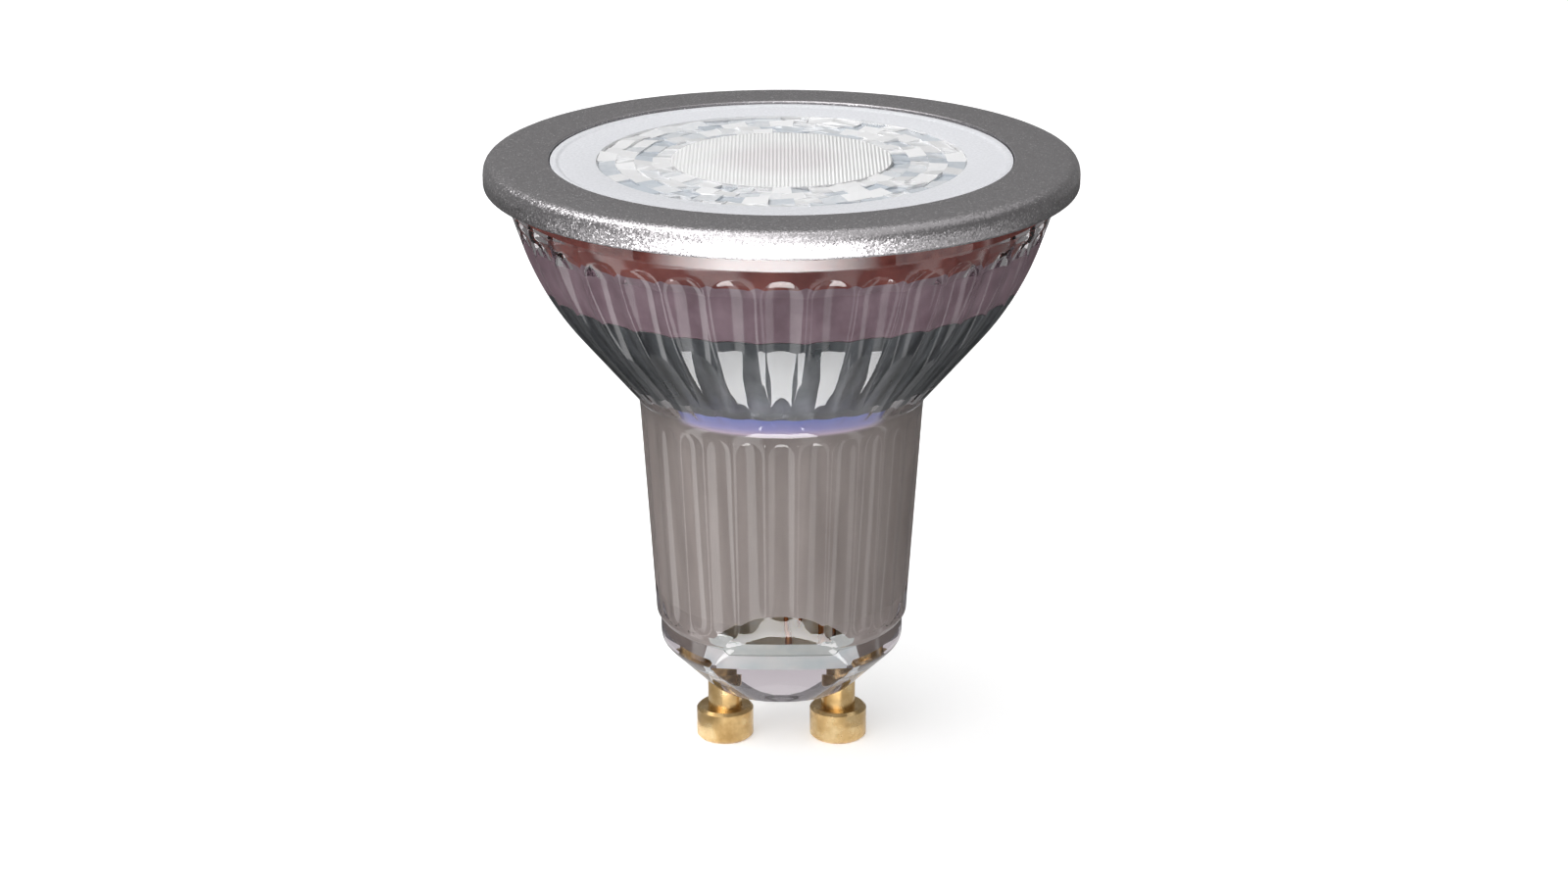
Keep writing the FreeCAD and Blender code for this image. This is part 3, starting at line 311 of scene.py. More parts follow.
def skin(name, grid, ring=False, flat=None):
    """A closed mesh over points in rows that run round the axis. A ring's last row joins its first; or else
    the first and last rows lie on one point of the axis each and close as a fan. Flat rows are facetted."""
    columns = grid.shape[1]
    inner = grid if ring else grid[1:-1]
    points = inner.reshape(-1, 3)
    index = np.arange(len(points)).reshape(-1, columns)
    lower, upper = (index, np.roll(index, -1, axis=0)) if ring else (index[:-1], index[1:])
    faces = np.stack([lower, np.roll(lower, -1, 1), np.roll(upper, -1, 1), upper], axis=-1)
    faces = faces.reshape(-1, 4).tolist()
    smooth = np.ones(lower.shape, bool)
    if flat:
        smooth[flat] = False
    if not ring:
        points = np.concatenate([points, grid[0, :1], grid[-1, :1]])
        foot, crown = len(points) - 2, len(points) - 1
        ahead = np.roll(np.arange(columns), -1)
        faces += [[foot, b, a] for a, b in zip(index[0].tolist(), index[0][ahead].tolist())]
        faces += [[crown, a, b] for a, b in zip(index[-1].tolist(), index[-1][ahead].tolist())]
    flags = np.ones(len(faces), bool)
    flags[:smooth.size] = smooth.ravel()
    mesh = bpy.data.meshes.new(name)
    mesh.from_pydata(points.tolist(), [], faces)
    mesh.polygons.foreach_set("use_smooth", flags)
    piece = bpy.data.objects.new(name, mesh)
    bpy.context.scene.collection.objects.link(piece)
    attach(piece, "root")
    return piece


FOOT, RIM = (float(corner[2]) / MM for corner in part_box("glass_body"))
CAP_FACE, COLLAR, STEM_FOOT, NECK_RADIUS, CONE_RADIUS, RIM_RADIUS = 6.4, 10.55, 10.9, 12.2, 17.3, 22.9
BEVEL_TOP, COLLAR_TOP, STEM_LOW, NECK, CONE_TOP, LIP = 9.85, 12.05, 12.3, 32.0, 38.0, 49.2
BOWL_ARC, BOWL_WALL, STEM_WALL = 26.8, 1.8, 1.6
CAVITY_TOP = 15.6
BOWL_BOND, STEM_BOND = 0.34, 0.18
FLAT_FOOT, FLAT_RISE, FLAT_EDGE = 6.3, 4.9 / 9.4, 0.08
COLUMNS = 504

chord = np.array([RIM_RADIUS - CONE_RADIUS, LIP - CONE_TOP])
lift = math.sqrt(BOWL_ARC ** 2 / (chord @ chord) - 0.25)
centre = np.array([(RIM_RADIUS + CONE_RADIUS) / 2 - lift * chord[1], (LIP + CONE_TOP) / 2 + lift * chord[0]])


def arc(radius, start, end, count):
    """Points about the bowl's centre, at angles in degrees below level."""
    dip = np.radians(np.linspace(start, end, count))[:, None]
    return centre + radius * np.hstack([np.cos(dip), -np.sin(dip)])


def dip_at(height):
    """The angle in degrees below level at which the bowl's outer arc passes a height."""
    return math.degrees(math.asin((centre[1] - height) / BOWL_ARC))


def scooped(section, outward, path, ball, count):
    """Turn and depth of points on a turned wall with scoops round it. A scoop is what a ball takes away on
    its path. Its depth at a side step is the root of the ball's radius squared, less the step squared and the
    overrun at the path's ends squared, minus the path's distance and the wall's fall over that step. Each
    row's points crowd into its scoop's width, so that the edges between scoops lie on rows of points."""
    lines = COLUMNS // count
    half = (lines - 2) // 2
    pitch = 2 * np.pi / count
    gaps = np.linalg.norm(section[:, None] - path[None], axis=-1)
    nearest = gaps.argmin(axis=1)
    ends = np.stack([path[0] - path[1], path[-1] - path[-2]])
    ends /= np.linalg.norm(ends, axis=1, keepdims=True)
    over = np.stack([((section - path[k]) * ends[k]).sum(1) for k in (0, -1)])
    at_end = np.stack([nearest == 0, nearest == len(path) - 1])
    over = np.where(at_end, np.maximum(over, 0), 0).max(axis=0)
    away = np.sqrt(np.maximum(gaps.min(axis=1) ** 2 - over ** 2, 0))
    reach, lean = section[:, 0], outward[:, 0]
    side = np.zeros_like(reach)
    for _ in range(8):
        side = np.sqrt(np.maximum(ball ** 2 - over ** 2 - (away + side ** 2 * lean / (2 * reach)) ** 2, 0))
    rest = pitch * half / lines
    width = np.where(side > 0, np.maximum(np.arcsin(side / reach), 0.3 * rest), rest)
    step = np.arange(COLUMNS) % lines
    share = np.where(step <= half, step, step - lines) / half
    offset = np.where(step == lines // 2, pitch / 2, share * width[:, None])
    turn = (np.arange(COLUMNS) // lines + (step > lines // 2)) * pitch + offset
    slide = reach[:, None] * np.sin(offset)
    fall = reach[:, None] * (1 - np.cos(offset)) * lean[:, None]
    inside = np.maximum(ball ** 2 - over[:, None] ** 2 - slide ** 2, 0)
    depth = np.where(side[:, None] > 0, np.maximum(np.sqrt(inside) - away[:, None] - fall, 0), 0)
    return turn, depth


wall = np.concatenate([
    rounded([(0, FOOT, 0), (CAP_FACE, FOOT, 0.35), (COLLAR, BEVEL_TOP, 0.5), (COLLAR, COLLAR_TOP, 0.15),
             (STEM_FOOT, STEM_LOW, 0.2), (NECK_RADIUS, NECK, 0.7), (CONE_RADIUS, CONE_TOP, 0)])[1:],
    arc(BOWL_ARC, dip_at(CONE_TOP - 0.2), dip_at(LIP), 120)[1:],
    rounded([(RIM_RADIUS, LIP, 0), (RIM_RADIUS, RIM, 0.3), (0, RIM, 0)])[1:-3],
])
STEM_CROWN_LOW, STEM_CROWN_HIGH, STEM_CROWN, BOWL_CROWN_LOW, BOWL_CROWN = 14.2, 30.1, 1.29, 47.25, 1.93
crowded = np.sin(np.linspace(0, np.pi / 2, 13))
heights = np.concatenate([
    np.linspace(wall[0, 1], FOOT + 0.15, 4), np.linspace(FOOT + 0.5, BEVEL_TOP - 0.4, 9),
    np.linspace(BEVEL_TOP - 0.25, BEVEL_TOP + 0.45, 6), np.linspace(BEVEL_TOP + 0.8, COLLAR_TOP - 0.2, 5),
    np.linspace(COLLAR_TOP - 0.1, STEM_LOW + 0.2, 7), STEM_CROWN_LOW - STEM_CROWN * crowded[::-1],
    np.linspace(STEM_CROWN_LOW + 1.2, STEM_CROWN_HIGH - 1.1, 12), STEM_CROWN_HIGH + STEM_CROWN * crowded,
    np.linspace(NECK - 0.55, NECK + 0.5, 8), np.linspace(NECK + 0.9, CONE_TOP, 13),
    np.linspace(CONE_TOP + 0.4, BOWL_CROWN_LOW - 0.05, 22), BOWL_CROWN_LOW + BOWL_CROWN * crowded[1:],
    [LIP + 0.05, LIP + 0.4, LIP + 0.9], np.linspace(RIM - 0.3, wall[-1, 1], 5),
])
reach = np.interp(heights, wall[:, 1], wall[:, 0])
slope = np.interp(heights, wall[:, 1], np.gradient(wall[:, 0], wall[:, 1]))
section = np.stack([reach, heights], axis=1)
outward = np.stack([np.ones_like(slope), -slope], axis=1) / np.sqrt(1 + slope ** 2)[:, None]

STEM_BALL, STEM_DEPTH, STEM_MARGIN, STEM_FLUTES = 3.4, 0.25, 1.9, 28
stem_line = np.array([NECK_RADIUS - STEM_FOOT, NECK - STEM_LOW])
stem_length = np.linalg.norm(stem_line)
stem_line = stem_line / stem_length
off = (STEM_BALL - STEM_DEPTH) * np.array([stem_line[1], -stem_line[0]])
run = np.linspace(STEM_MARGIN, stem_length - STEM_MARGIN, 400)[:, None]
stem_path = np.array([STEM_FOOT, STEM_LOW]) + off + run * stem_line

BOWL_BALL, BOWL_DEPTH, BOWL_RUNOUT, BOWL_FLUTES = 4.0, 0.3, 1.64, 36
FLUTE_TOP_ANGLE, FLUTE_TAIL_ANGLE, RUNOUT_ANGLE, TAIL_DROP = 4.0, 2.36, 7.0, 1.69
start = dip_at(LIP) + FLUTE_TOP_ANGLE
end = math.degrees(math.atan2(CONE_RADIUS - NECK_RADIUS, CONE_TOP - NECK)) - FLUTE_TAIL_ANGLE
aside = math.radians(end + RUNOUT_ANGLE)
shift = BOWL_RUNOUT * np.array([math.cos(aside), -math.sin(aside)])
bend = arc(BOWL_ARC + BOWL_BALL - BOWL_DEPTH - BOWL_RUNOUT, start, end, 500) + shift
drop = np.linspace(0, bend[-1, 1] - (NECK - TAIL_DROP), 200)[1:, None]
bowl_path = np.concatenate([bend, bend[-1] - drop * np.array([math.tan(math.radians(end)), 1.0])])

low = heights < NECK
turn, depth = (np.concatenate(pair) for pair in zip(
    scooped(section[low], outward[low], stem_path, STEM_BALL, STEM_FLUTES),
    scooped(section[~low], outward[~low], bowl_path, BOWL_BALL, BOWL_FLUTES)))
height = heights[:, None] - depth * outward[:, 1:]
reach = reach[:, None] - depth * outward[:, :1]
flat_reach = (FLAT_FOOT + (height - FOOT) * FLAT_RISE) / np.maximum(np.abs(np.sin(turn)), 1e-3)
nearer = np.minimum(reach, flat_reach)
reach = nearer - FLAT_EDGE * np.log1p(np.exp(-np.abs(reach - flat_reach) / FLAT_EDGE))

inner_arc = BOWL_ARC - BOWL_WALL - BOWL_BOND
inner_cone = centre + (np.array([CONE_RADIUS, CONE_TOP]) - centre) * inner_arc / BOWL_ARC
inner_lip = math.asin((centre[1] - LIP) / inner_arc)
inner_rim = centre[0] + inner_arc * math.cos(inner_lip)
inner_end = math.degrees(math.atan2(centre[1] - inner_cone[1], inner_cone[0] - centre[0]))
inside = np.concatenate([
    rounded([(RIM_RADIUS, LIP, 0), (RIM_RADIUS, RIM, 0.3), (inner_rim, RIM, 0.2), (inner_rim, LIP, 0)])[6:-1],
    arc(inner_arc, math.degrees(inner_lip), inner_end, 14)[:-1],
    rounded([(*inner_cone, 0), (NECK_RADIUS - STEM_WALL - STEM_BOND, NECK + BOWL_WALL / 2, 0.6),
             (STEM_FOOT - STEM_WALL - STEM_BOND, CAVITY_TOP, 0.3), (0, CAVITY_TOP, 0)], 4),
])
even = np.linspace(0, 2 * np.pi, COLUMNS, endpoint=False)
underside = np.array([0, 2.0, 4.0, 5.5])[:, None]
glass_grid = np.concatenate([
    swept(underside, FOOT, even), swept(reach, height, turn), swept(inside[:, :1], inside[:, 1:], even)])
glass_shell = skin("glass_shell", glass_grid)

GLASS_TINT = "#c9bfc6"
GLASS_DENSITY = 100.0
glass, tree, shader = surface("pressed clear glass", "#ffffff", 0.0, Transmission_Weight=1.0, IOR=1.5)
absorb = add(tree, "VolumeAbsorption", {"Color": linear(GLASS_TINT), "Density": GLASS_DENSITY})
tree.links.new(absorb.outputs[0], tree.nodes["Material Output"].inputs["Volume"])
bumped(tree, shader, patches(tree, 5 * MM, 1.0), 0.02 * MM)
glass_shell.data.materials.append(glass)
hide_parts("glass_body")


# Compound's rim: the sealing compound crept up the wall of the cap as it cured and shows in the arches.
# Pale silicone like the rest, set with a soft edge and clouded by the resin over it.
CREEP_INNER, CREEP_OUTER, CREEP_CREST, CREEP_FOOT, CREEP_TOP = 6.2, 7.71, 8.37, 11.25, 12.6
CREEP_COLUMNS = 180
even = np.linspace(0, 2 * np.pi, CREEP_COLUMNS, endpoint=False)
creep = rounded([(CREEP_INNER, CREEP_FOOT - 0.1, 0.05), (CREEP_OUTER, CREEP_FOOT, 0.05),
                 (CREEP_CREST, CREEP_TOP, 0.15), (CREEP_INNER, CREEP_FOOT + 0.15, 0.05)], 4)
compound_rim = skin("compound_rim", swept(creep[:, :1], creep[:, 1:], even), ring=True)
cured, tree, shader = surface("cured silicone", "#d6dcd8", 0.35)
cloud = patches(tree, 2 * MM)
drive(shader, "Base Color", blend_of(tree, cloud, (0.3, "#d3dcdb"), (0.7, "#e6eae4")))
bumped(tree, shader, cloud, 0.03 * MM)
compound_rim.data.materials.append(cured)


# Lens: clear acrylic, moulded with rows of flat facets below, a hollow over the LED and a turned face.
# The facets throw light up; the face has a bead at its border, a frosted band, a groove and a hatched centre.
LENS_LOW, LENS_TOP = (float(corner[2]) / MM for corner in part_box("lens"))
LENS_COLUMNS, FACETS, FACET_ROWS, FACET_CURVE = 144, 36, 6, 0.7
BASE_RADIUS, FACET_RADIUS, FLANGE_RADIUS, BEAD_RADIUS = 5.2, 15.6, 22.3, 19.4
HOLLOW_RADIUS, HOLLOW_DEPTH, DOME = 3.7, 4.6, 1.2
FLANGE_LOW, FLANGE_TOP, FACE, GROOVE, CENTRE_RADIUS = 51.25, 51.95, LENS_TOP - 0.2, LENS_TOP - 0.6, 9.2
even = np.linspace(0, 2 * np.pi, LENS_COLUMNS, endpoint=False)
dome_reach = np.linspace(0, HOLLOW_RADIUS, 8)
dome_radius = (HOLLOW_RADIUS ** 2 + DOME ** 2) / (2 * DOME)
dome_height = LENS_LOW + HOLLOW_DEPTH - DOME + dome_radius - np.sqrt(dome_radius ** 2 - dome_reach ** 2)
hollow = np.concatenate([
    np.stack([dome_reach, dome_height], axis=1),
    rounded([(HOLLOW_RADIUS, LENS_LOW + HOLLOW_DEPTH, 0), (HOLLOW_RADIUS, LENS_LOW, 0.1),
             (BASE_RADIUS - 0.1, LENS_LOW, 0)], 4)[1:]])
bands = np.repeat(np.arange(FACET_ROWS), 2)
share = (bands + np.tile([0, 1], FACET_ROWS)) / FACET_ROWS
facet_height = (LENS_LOW + (FLANGE_LOW - LENS_LOW) * share)[:, None]
facet_corner = (BASE_RADIUS + (FACET_RADIUS - BASE_RADIUS) * share ** FACET_CURVE)[:, None]
facet_pitch = 2 * np.pi / FACETS
within = (even + (bands % 2)[:, None] * facet_pitch / 2) % facet_pitch - facet_pitch / 2
facet_reach = facet_corner * math.cos(facet_pitch / 2) / np.cos(within)
face = rounded([
    (FACET_RADIUS, FLANGE_LOW, 0), (FLANGE_RADIUS, FLANGE_LOW, 0.1), (FLANGE_RADIUS, FLANGE_TOP, 0.1),
    (BEAD_RADIUS, FLANGE_TOP, 0), (BEAD_RADIUS, LENS_TOP, 0.2), (BEAD_RADIUS - 0.5, LENS_TOP, 0.2),
    (BEAD_RADIUS - 0.7, FACE, 0.1), (FACET_RADIUS, FACE, 0.15), (FACET_RADIUS - 0.4, GROOVE, 0.15),
    (CENTRE_RADIUS + 0.4, GROOVE, 0.15), (CENTRE_RADIUS, FACE, 0.15), (0, FACE, 0)], 5)[1:]
lens_grid = np.concatenate([
    swept(hollow[:, :1], hollow[:, 1:], even), swept(facet_reach, facet_height, even),
    swept(face[:, :1], face[:, 1:], even)])
first_facet = len(hollow) - 2
lens_moulding = skin("lens_moulding", lens_grid, flat=slice(first_facet, first_facet + 2 * FACET_ROWS + 1))
acrylic, tree, shader = surface("moulded clear acrylic", "#ffffff", 0.01, Transmission_Weight=1.0, IOR=1.49)
bumped(tree, shader, patches(tree, 2 * MM, 1.0), 0.01 * MM)
lens_moulding.data.materials.append(acrylic)
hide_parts("lens")


# Prism ring: rows of small cut facets on the floor of the face's groove, each at its own height and tilt,
# They are lightly etched and white, and each is painted its own pale grey, lighter the higher it stands, as
# painted light and shade for their differing reflections.
PRISMS, PRISM_ROWS, PRISM_LOW, PRISM_HIGH, PRISM_TILT = 40, 4, 0.14, 0.34, 0.12
PRISM_SEED = 7
edges = np.linspace(FACET_RADIUS - 0.1, CENTRE_RADIUS + 0.1, PRISM_ROWS + 1)
rows = np.stack([edges[:-1], edges[1:]], axis=1).reshape(-1, 1)
shift = np.repeat(np.arange(PRISM_ROWS) % 2 / 2, 2)[:, None]
turn = (np.repeat(np.arange(PRISMS), 2) + np.tile([0, 1], PRISMS) + shift) * 2 * np.pi / PRISMS
chances = np.random.default_rng(PRISM_SEED).random((3, PRISM_ROWS, PRISMS))
level, lean, cant = (np.repeat(np.repeat(k, 2, 0), 2, 1) for k in chances)
crests = GROOVE + PRISM_LOW + (PRISM_HIGH - PRISM_LOW) * level
crests += PRISM_TILT * (lean - 0.5) * np.tile([[-1], [1]], (PRISM_ROWS, 1)) * 2
crests += PRISM_TILT * (cant - 0.5) * np.tile([-1, 1], PRISMS) * 2
border = np.array([[FACET_RADIUS - 0.05], [CENTRE_RADIUS + 0.05]])
border = swept(border, FACE + 0.03, turn[[0, -1]])
base = swept(edges[[-1, 0]][:, None], GROOVE - 0.2, turn[[-1, 0]])
prism_grid = np.concatenate([base, border[:1], swept(rows, crests, turn), border[1:]])
prism_ring = skin("lens_prism_ring", prism_grid, ring=True, flat=slice(None))
painted_facet_shade = np.concatenate([np.ones((3, 2 * PRISMS)), level, np.ones((1, 2 * PRISMS))])
prism_ring.data.attributes.new("painted_facet_shade", "FLOAT", "POINT").data.foreach_set("value", painted_facet_shade.ravel())
prisms, tree, shader = surface("cut acrylic prisms", "#f6f7f9", 0.08, Transmission_Weight=0.3, IOR=1.49)
# Painted light and shade: each facet's grey follows its height, with a fine grain over it.
cut = add(tree, "Attribute", attribute_name="painted_facet_shade").outputs["Fac"]
grain = spread(tree, patches(tree, 0.5 * MM, 1.0), -0.15, 0.15)
cut = add(tree, "Math", {0: cut, 1: grain}, operation="ADD", use_clamp=True).outputs[0]
drive(shader, "Base Color", blend_of(tree, cut, (0.1, "#cbd2da"), (0.6, "#fdfdfe")))
prism_ring.data.materials.append(prisms)


# Frosted band: the lens face from its facets out over its bead, etched in the mould, so it scatters light.
# A thin skin of the same acrylic, drawn a hair above the face with a fine matt grain.
BAND_RADIUS = FACET_RADIUS - 0.07
band = rounded([
    (BAND_RADIUS, FACE + 0.01, 0.02), (BEAD_RADIUS - 0.7, FACE + 0.01, 0.1),
    (BEAD_RADIUS - 0.45, LENS_TOP - 0.06, 0.1), (BEAD_RADIUS, LENS_TOP - 0.06, 0.02),
    (BEAD_RADIUS, LENS_TOP + 0.01, 0.02), (BEAD_RADIUS - 0.5, LENS_TOP + 0.01, 0.1),
    (BEAD_RADIUS - 0.75, FACE + 0.07, 0.1), (BAND_RADIUS, FACE + 0.07, 0.02)], 3)
frosted_band = skin("lens_frosted_band", swept(band[:, :1], band[:, 1:], even), ring=True)
etched, tree, shader = surface("etched acrylic", "#f2f2f4", 0.55, Transmission_Weight=0.15, IOR=1.3)
grain = patches(tree, 0.25 * MM, 4.0)
drive(shader, "Base Color", blend_of(tree, grain, (0.3, "#cfd0d4"), (0.7, "#dfe0e4")))
bumped(tree, shader, grain, 0.02 * MM)
frosted_band.data.materials.append(etched)


# Hatched centre: the middle of the lens face, with a fine crossed hatch from the mould that evens the light.
# The same acrylic, with the hatch's low lines painted pinkish grey in the middle, painted shade tinted where
# the source shows through, and plain white at its edge.
HATCH = 0.32 * MM
DISC_RADIUS = 9.27
disc = rounded([(0, FACE + 0.01, 0), (DISC_RADIUS, FACE + 0.01, 0.02), (DISC_RADIUS, FACE + 0.06, 0.02),
                (0, FACE + 0.06, 0)], 3)
hatched_centre = skin("lens_hatched_centre", swept(disc[:, :1], disc[:, 1:], even))
hatched, tree, shader = surface("hatched acrylic", "#f4f4f6", 0.3, Transmission_Weight=0.12, IOR=1.3)
place = add(tree, "SeparateXYZ", {0: add(tree, "TexCoord").outputs["Object"]})
waves = [add(tree, "Math", {0: place.outputs[axis], 1: HATCH / 2}, operation="PINGPONG") for axis in "XY"]
relief = add(tree, "Math", {0: waves[0].outputs[0], 1: waves[1].outputs[0]}, operation="ADD").outputs[0]
lines = add(tree, "Math", {0: relief, 1: 1 / HATCH}, operation="MULTIPLY").outputs[0]
# Painted shade: the hatch's low lines are darker and pinker than its crests.
hatch_painted_shade = blend_of(tree, lines, (0.1, "#e2dcde"), (0.8, "#f6f4f5"))
apart = add(tree, "TexCoord").outputs["Object"]
apart = add(tree, "VectorMath", {0: apart, 1: (1, 1, 0)}, operation="MULTIPLY")
apart = add(tree, "VectorMath", {0: apart.outputs[0]}, operation="LENGTH").outputs["Value"]
edge = add(tree, "MapRange", {0: apart, 1: 0.35 * DISC_RADIUS * MM, 2: 0.7 * DISC_RADIUS * MM}).outputs[0]
drive(shader, "Base Color", two_tone(tree, edge, hatch_painted_shade, linear("#fafafa")))
bumped(tree, shader, relief, 0.6)
hatched_centre.data.materials.append(hatched)


# Front ring: moulded plastic under silver flake lacquer, glued over the lens and the glass rim.
# The flakes lie at random tilts, so single ones flash; they are drawn larger than real to show.
RING_LOW, RING_TOP = (float(corner[2]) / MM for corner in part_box("front_ring"))
RING_RADIUS, OPENING, RING_BORE = float(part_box("front_ring")[1][0]) / MM, 19.5, 23.05
RING_EDGE, RING_FACE, RING_COLUMNS = 1.2, 0.9, 384
turn = np.linspace(0, 2 * np.pi, RING_COLUMNS, endpoint=False)
ring_section = rounded([
    (RING_BORE, RING_LOW, 0.1), (RING_RADIUS, RING_LOW, 0.3), (RING_RADIUS, RING_TOP, RING_EDGE),
    (OPENING, RING_TOP, 0.15), (OPENING, RING_TOP - RING_FACE, 0.05),
    (RING_BORE, RING_TOP - RING_FACE, 0.05)], 9)
ring_moulding = skin("ring_moulding", swept(ring_section[:, :1], ring_section[:, 1:], turn), ring=True)
FLAKE, FLAKE_TILT = 0.1 * MM, 0.34
lacquered, tree, shader = surface("silver flake lacquer", "#a09d9f", 0.32, Metallic=0.95)
place = add(tree, "TexCoord").outputs["Object"]
cells = add(tree, "TexVoronoi", {"Vector": place, "Scale": 1 / FLAKE})
chance = add(tree, "SeparateColor", {0: cells.outputs["Color"]}).outputs[0]
tint = blend_of(tree, chance, (0.0, "#8f8c8e"), (0.8, "#a29fa1"), (0.95, "#b4b1b3"), (1.0, "#eae8e9"))
drive(shader, "Base Color", tint)
tilt = add(tree, "VectorMath", {0: cells.outputs["Color"], 1: (0.5, 0.5, 0.5)}, operation="SUBTRACT")
lean = add(tree, "VectorMath", {0: tilt.outputs[0], "Scale": FLAKE_TILT}, operation="SCALE")
facing = add(tree, "NewGeometry").outputs["Normal"]
leaned = add(tree, "VectorMath", {0: facing, 1: lean.outputs[0]}, operation="ADD")
flake_normal = add(tree, "VectorMath", {0: leaned.outputs[0]}, operation="NORMALIZE")
drive(shader, "Normal", flake_normal.outputs[0])
ring_moulding.data.materials.append(lacquered)
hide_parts("front_ring")


# Stage: a pale floor, soft studio lamps, cards that show in gloss and glass alone, and the camera at the
# photograph's place. The cards give the glass its dark edges and its bright streaks.
def seen_share(tree):
    """1 for what the camera sees straight, in gloss or through glass, 0 for light on its way to a surface."""
    path = add(tree, "LightPath")
    seen = path.outputs["Is Camera Ray"]
    for kind in ("Is Glossy Ray", "Is Transmission Ray"):
        seen = add(tree, "Math", {0: seen, 1: path.outputs[kind]}, operation="MAXIMUM").outputs[0]
    return seen


FLOOR_SIZE, FLOOR_GLOW = 3.0, 0.35
bpy.ops.mesh.primitive_plane_add(size=FLOOR_SIZE, location=(0, 0, 0))
floor = bpy.context.object
floor.name = "floor"
paper, tree, shader = surface("white paper", "#f7f7f7", 0.9, Emission_Color=(1, 1, 1, 1))
drive(shader, "Emission Strength", spread(tree, seen_share(tree), 0.0, FLOOR_GLOW))
floor.data.materials.append(paper)

WORLD_LIGHT, WORLD_SEEN = 0.42, 1.0
world = bpy.data.worlds.new("studio")
bpy.context.scene.world = world
world.use_nodes = True
tree = world.node_tree
background = tree.nodes["Background"]
background.inputs["Color"].default_value = (1, 1, 1, 1)
drive(background, "Strength", spread(tree, seen_share(tree), WORLD_LIGHT, WORLD_SEEN))


def softbox(name, place, aim, size, power):
    """A rectangular area lamp at a place, turned to face a point."""
    lamp = bpy.data.lights.new(name, "AREA")
    lamp.shape = "RECTANGLE"
    lamp.size, lamp.size_y = size
    lamp.energy = power
    thing = bpy.data.objects.new(name, lamp)
    bpy.context.scene.collection.objects.link(thing)
    thing.location = place
    thing.rotation_euler = (Vector(aim) - Vector(place)).to_track_quat("-Z", "Y").to_euler()


middle = (0, 0, 30 * MM)
softbox("top softbox", (-0.2, 0.05, 0.5), middle, (0.35, 0.35), 1.6)
softbox("front softbox", (-0.16, -0.43, 0.42), middle, (0.5, 0.4), 2.3)


def card(name, first, second, level, stops=None, gloss=True, glass=True, bounced=1.0):
    """A card between two rows of points, in metres. Gloss or glass sees it at this level, shaded by stops
    along the turn about the axis. Light on its way to the pieces behind the glass finds it at bounced."""
    count = len(first)
    number = np.arange(count - 1)
    faces = np.stack([number, number + 1, number + 1 + count, number + count], axis=1)
    mesh = bpy.data.meshes.new(name)
    mesh.from_pydata(np.concatenate([first, second]).tolist(), [], faces.tolist())
    material, tree, shader = surface(f"{name} paper", "#000000", 1.0, Specular_IOR_Level=0.0,
                                     Emission_Color=(1, 1, 1, 1))
    if stops:
        place = add(tree, "TexCoord").outputs["Object"]
        turn = add(tree, "TexGradient", {0: place}, gradient_type="RADIAL").outputs[1]
        shade = blend_of(tree, turn, *stops)
        level = add(tree, "Math", {0: shade, 1: level}, operation="MULTIPLY").outputs[0]
    depth = add(tree, "LightPath").outputs["Diffuse Depth"]
    drive(shader, "Emission Strength", add(tree, "Mix", {0: depth, 2: level, 3: bounced}).outputs[0])
    mesh.materials.append(material)
    thing = bpy.data.objects.new(name, mesh)
    bpy.context.scene.collection.objects.link(thing)
    thing.visible_camera = thing.visible_diffuse = thing.visible_shadow = False
    thing.visible_glossy, thing.visible_transmission = gloss, glass


LIFT, WALL_REACH = 0.5, 320.0


def floor_card(name, turns, inner, outer, level, height=LIFT, **look):
    """A flat card above the floor, from one distance from the axis to another, in millimetres."""
    card(name, swept(inner, height, turns), swept(outer, height, turns), level, **look)


def wall_card(name, turns, low, high, level, **look):
    """An upright card far out round the axis, from one height to another, in millimetres."""
    card(name, swept(WALL_REACH, low, turns), swept(WALL_REACH, high, turns), level, **look)


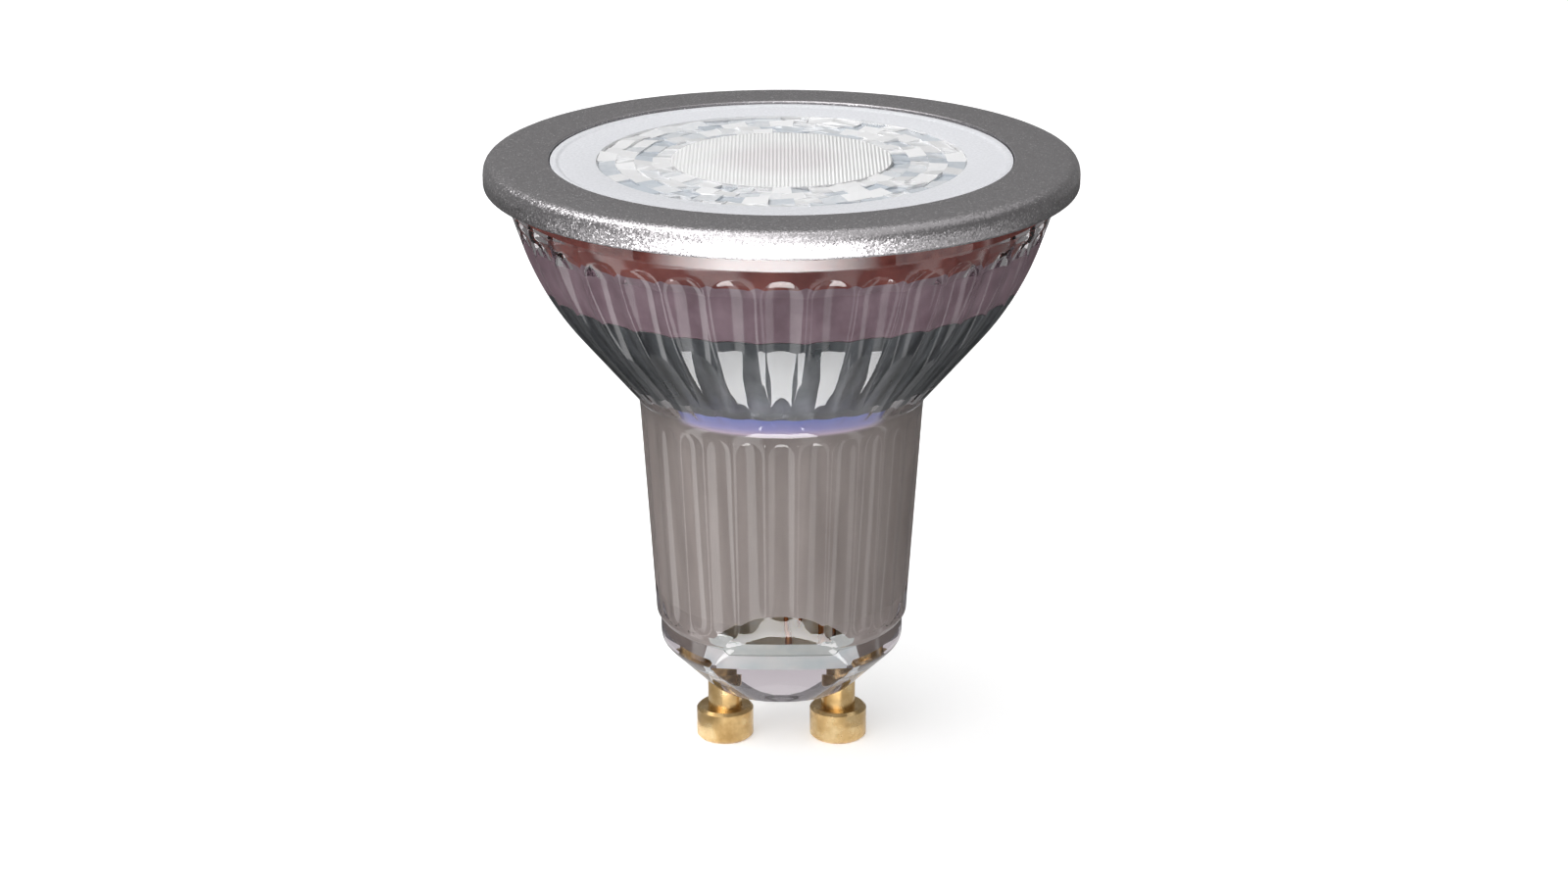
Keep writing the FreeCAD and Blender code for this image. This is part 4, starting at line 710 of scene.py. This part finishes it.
DARK, GREY, WHITE, BLACK = "#3a3a3a", "#cccccc", "#ffffff", "#000000"
UNDER_START, STRIPE_START, STRIPE_NEAR, STRIPE_FAR = 9.0, 28.0, 110.0, 300.0
around = np.linspace(-np.pi, np.pi, 145)
in_front = np.abs(around + np.pi / 2) < np.radians(80)
stripe_end = np.where(in_front, STRIPE_NEAR, STRIPE_FAR)
stripes = [(0.02, DARK), (0.03, WHITE), (0.06, WHITE), (0.07, DARK), (0.14, DARK), (0.15, WHITE),
           (0.2, WHITE), (0.21, DARK), (0.29, DARK), (0.3, GREY), (0.33, GREY), (0.34, DARK), (0.4, DARK),
           (0.41, GREY), (0.43, GREY), (0.44, DARK), (0.49, DARK), (0.5, GREY), (0.51, DARK)]
floor_card("glass_floor_card", around, UNDER_START, STRIPE_FAR, 0.26, gloss=False, bounced=1.35)
floor_card("under_floor_card", around, UNDER_START, STRIPE_START, 0.6, glass=False)
floor_card("striped_floor_card", around, STRIPE_START, stripe_end, 2.2, stops=stripes, glass=False)

FAR_START, FAR_END, MILK_START, MILK_END, NEAR_START, NEAR_END = 140.0, 700.0, 77.0, 96.0, 13.2, 29.0
ahead = np.radians(np.linspace(-150, -45, 43))
near = np.radians(np.linspace(-122, -58, 25))
glow = [(0.1, BLACK), (0.19, WHITE), (0.26, WHITE), (0.36, BLACK)]
floor_card("far_floor_card", ahead, FAR_START, FAR_END, 20.0, stops=glow, glass=False)
floor_card("milk_floor_card", ahead, MILK_START, MILK_END, 12.0, 2 * LIFT, stops=glow, glass=False)
floor_card("near_floor_card", near, NEAR_START, NEAR_END, 8.0, 2 * LIFT, glass=False)

WALL_FOOT, WALL_STEP, WALL_TOP = 1.0, 95.0, 330.0
behind = np.radians(np.linspace(30, 210, 73))
right = np.radians(np.linspace(-60, 30, 37))
wall_card("dark_wall_card", behind, WALL_STEP, WALL_TOP, 0.28)
wall_card("low_wall_card", behind, WALL_FOOT, WALL_STEP, 0.28, glass=False)
wall_card("right_wall_card", right, WALL_FOOT, WALL_TOP, 0.2, bounced=0.0)

CAMERA_PLACE = (0, -0.272, 0.121)
CAMERA_DOWN = math.radians(18.97)
FOCAL_PIXELS, SHIFT_PIXELS = 3403.0, 2.5
PHOTO_WIDTH = 1600
SENSOR = 36.0
optics = bpy.data.cameras.new("camera")
optics.sensor_width = SENSOR
optics.lens = FOCAL_PIXELS / PHOTO_WIDTH * SENSOR
optics.shift_x = SHIFT_PIXELS / PHOTO_WIDTH
optics.clip_start = 0.005
camera = bpy.data.objects.new("camera", optics)
bpy.context.scene.collection.objects.link(camera)
camera.location = CAMERA_PLACE
camera.rotation_euler = (math.pi / 2 - CAMERA_DOWN, 0, 0)
bpy.context.scene.camera = camera
bpy.context.scene.view_settings.view_transform = "Standard"
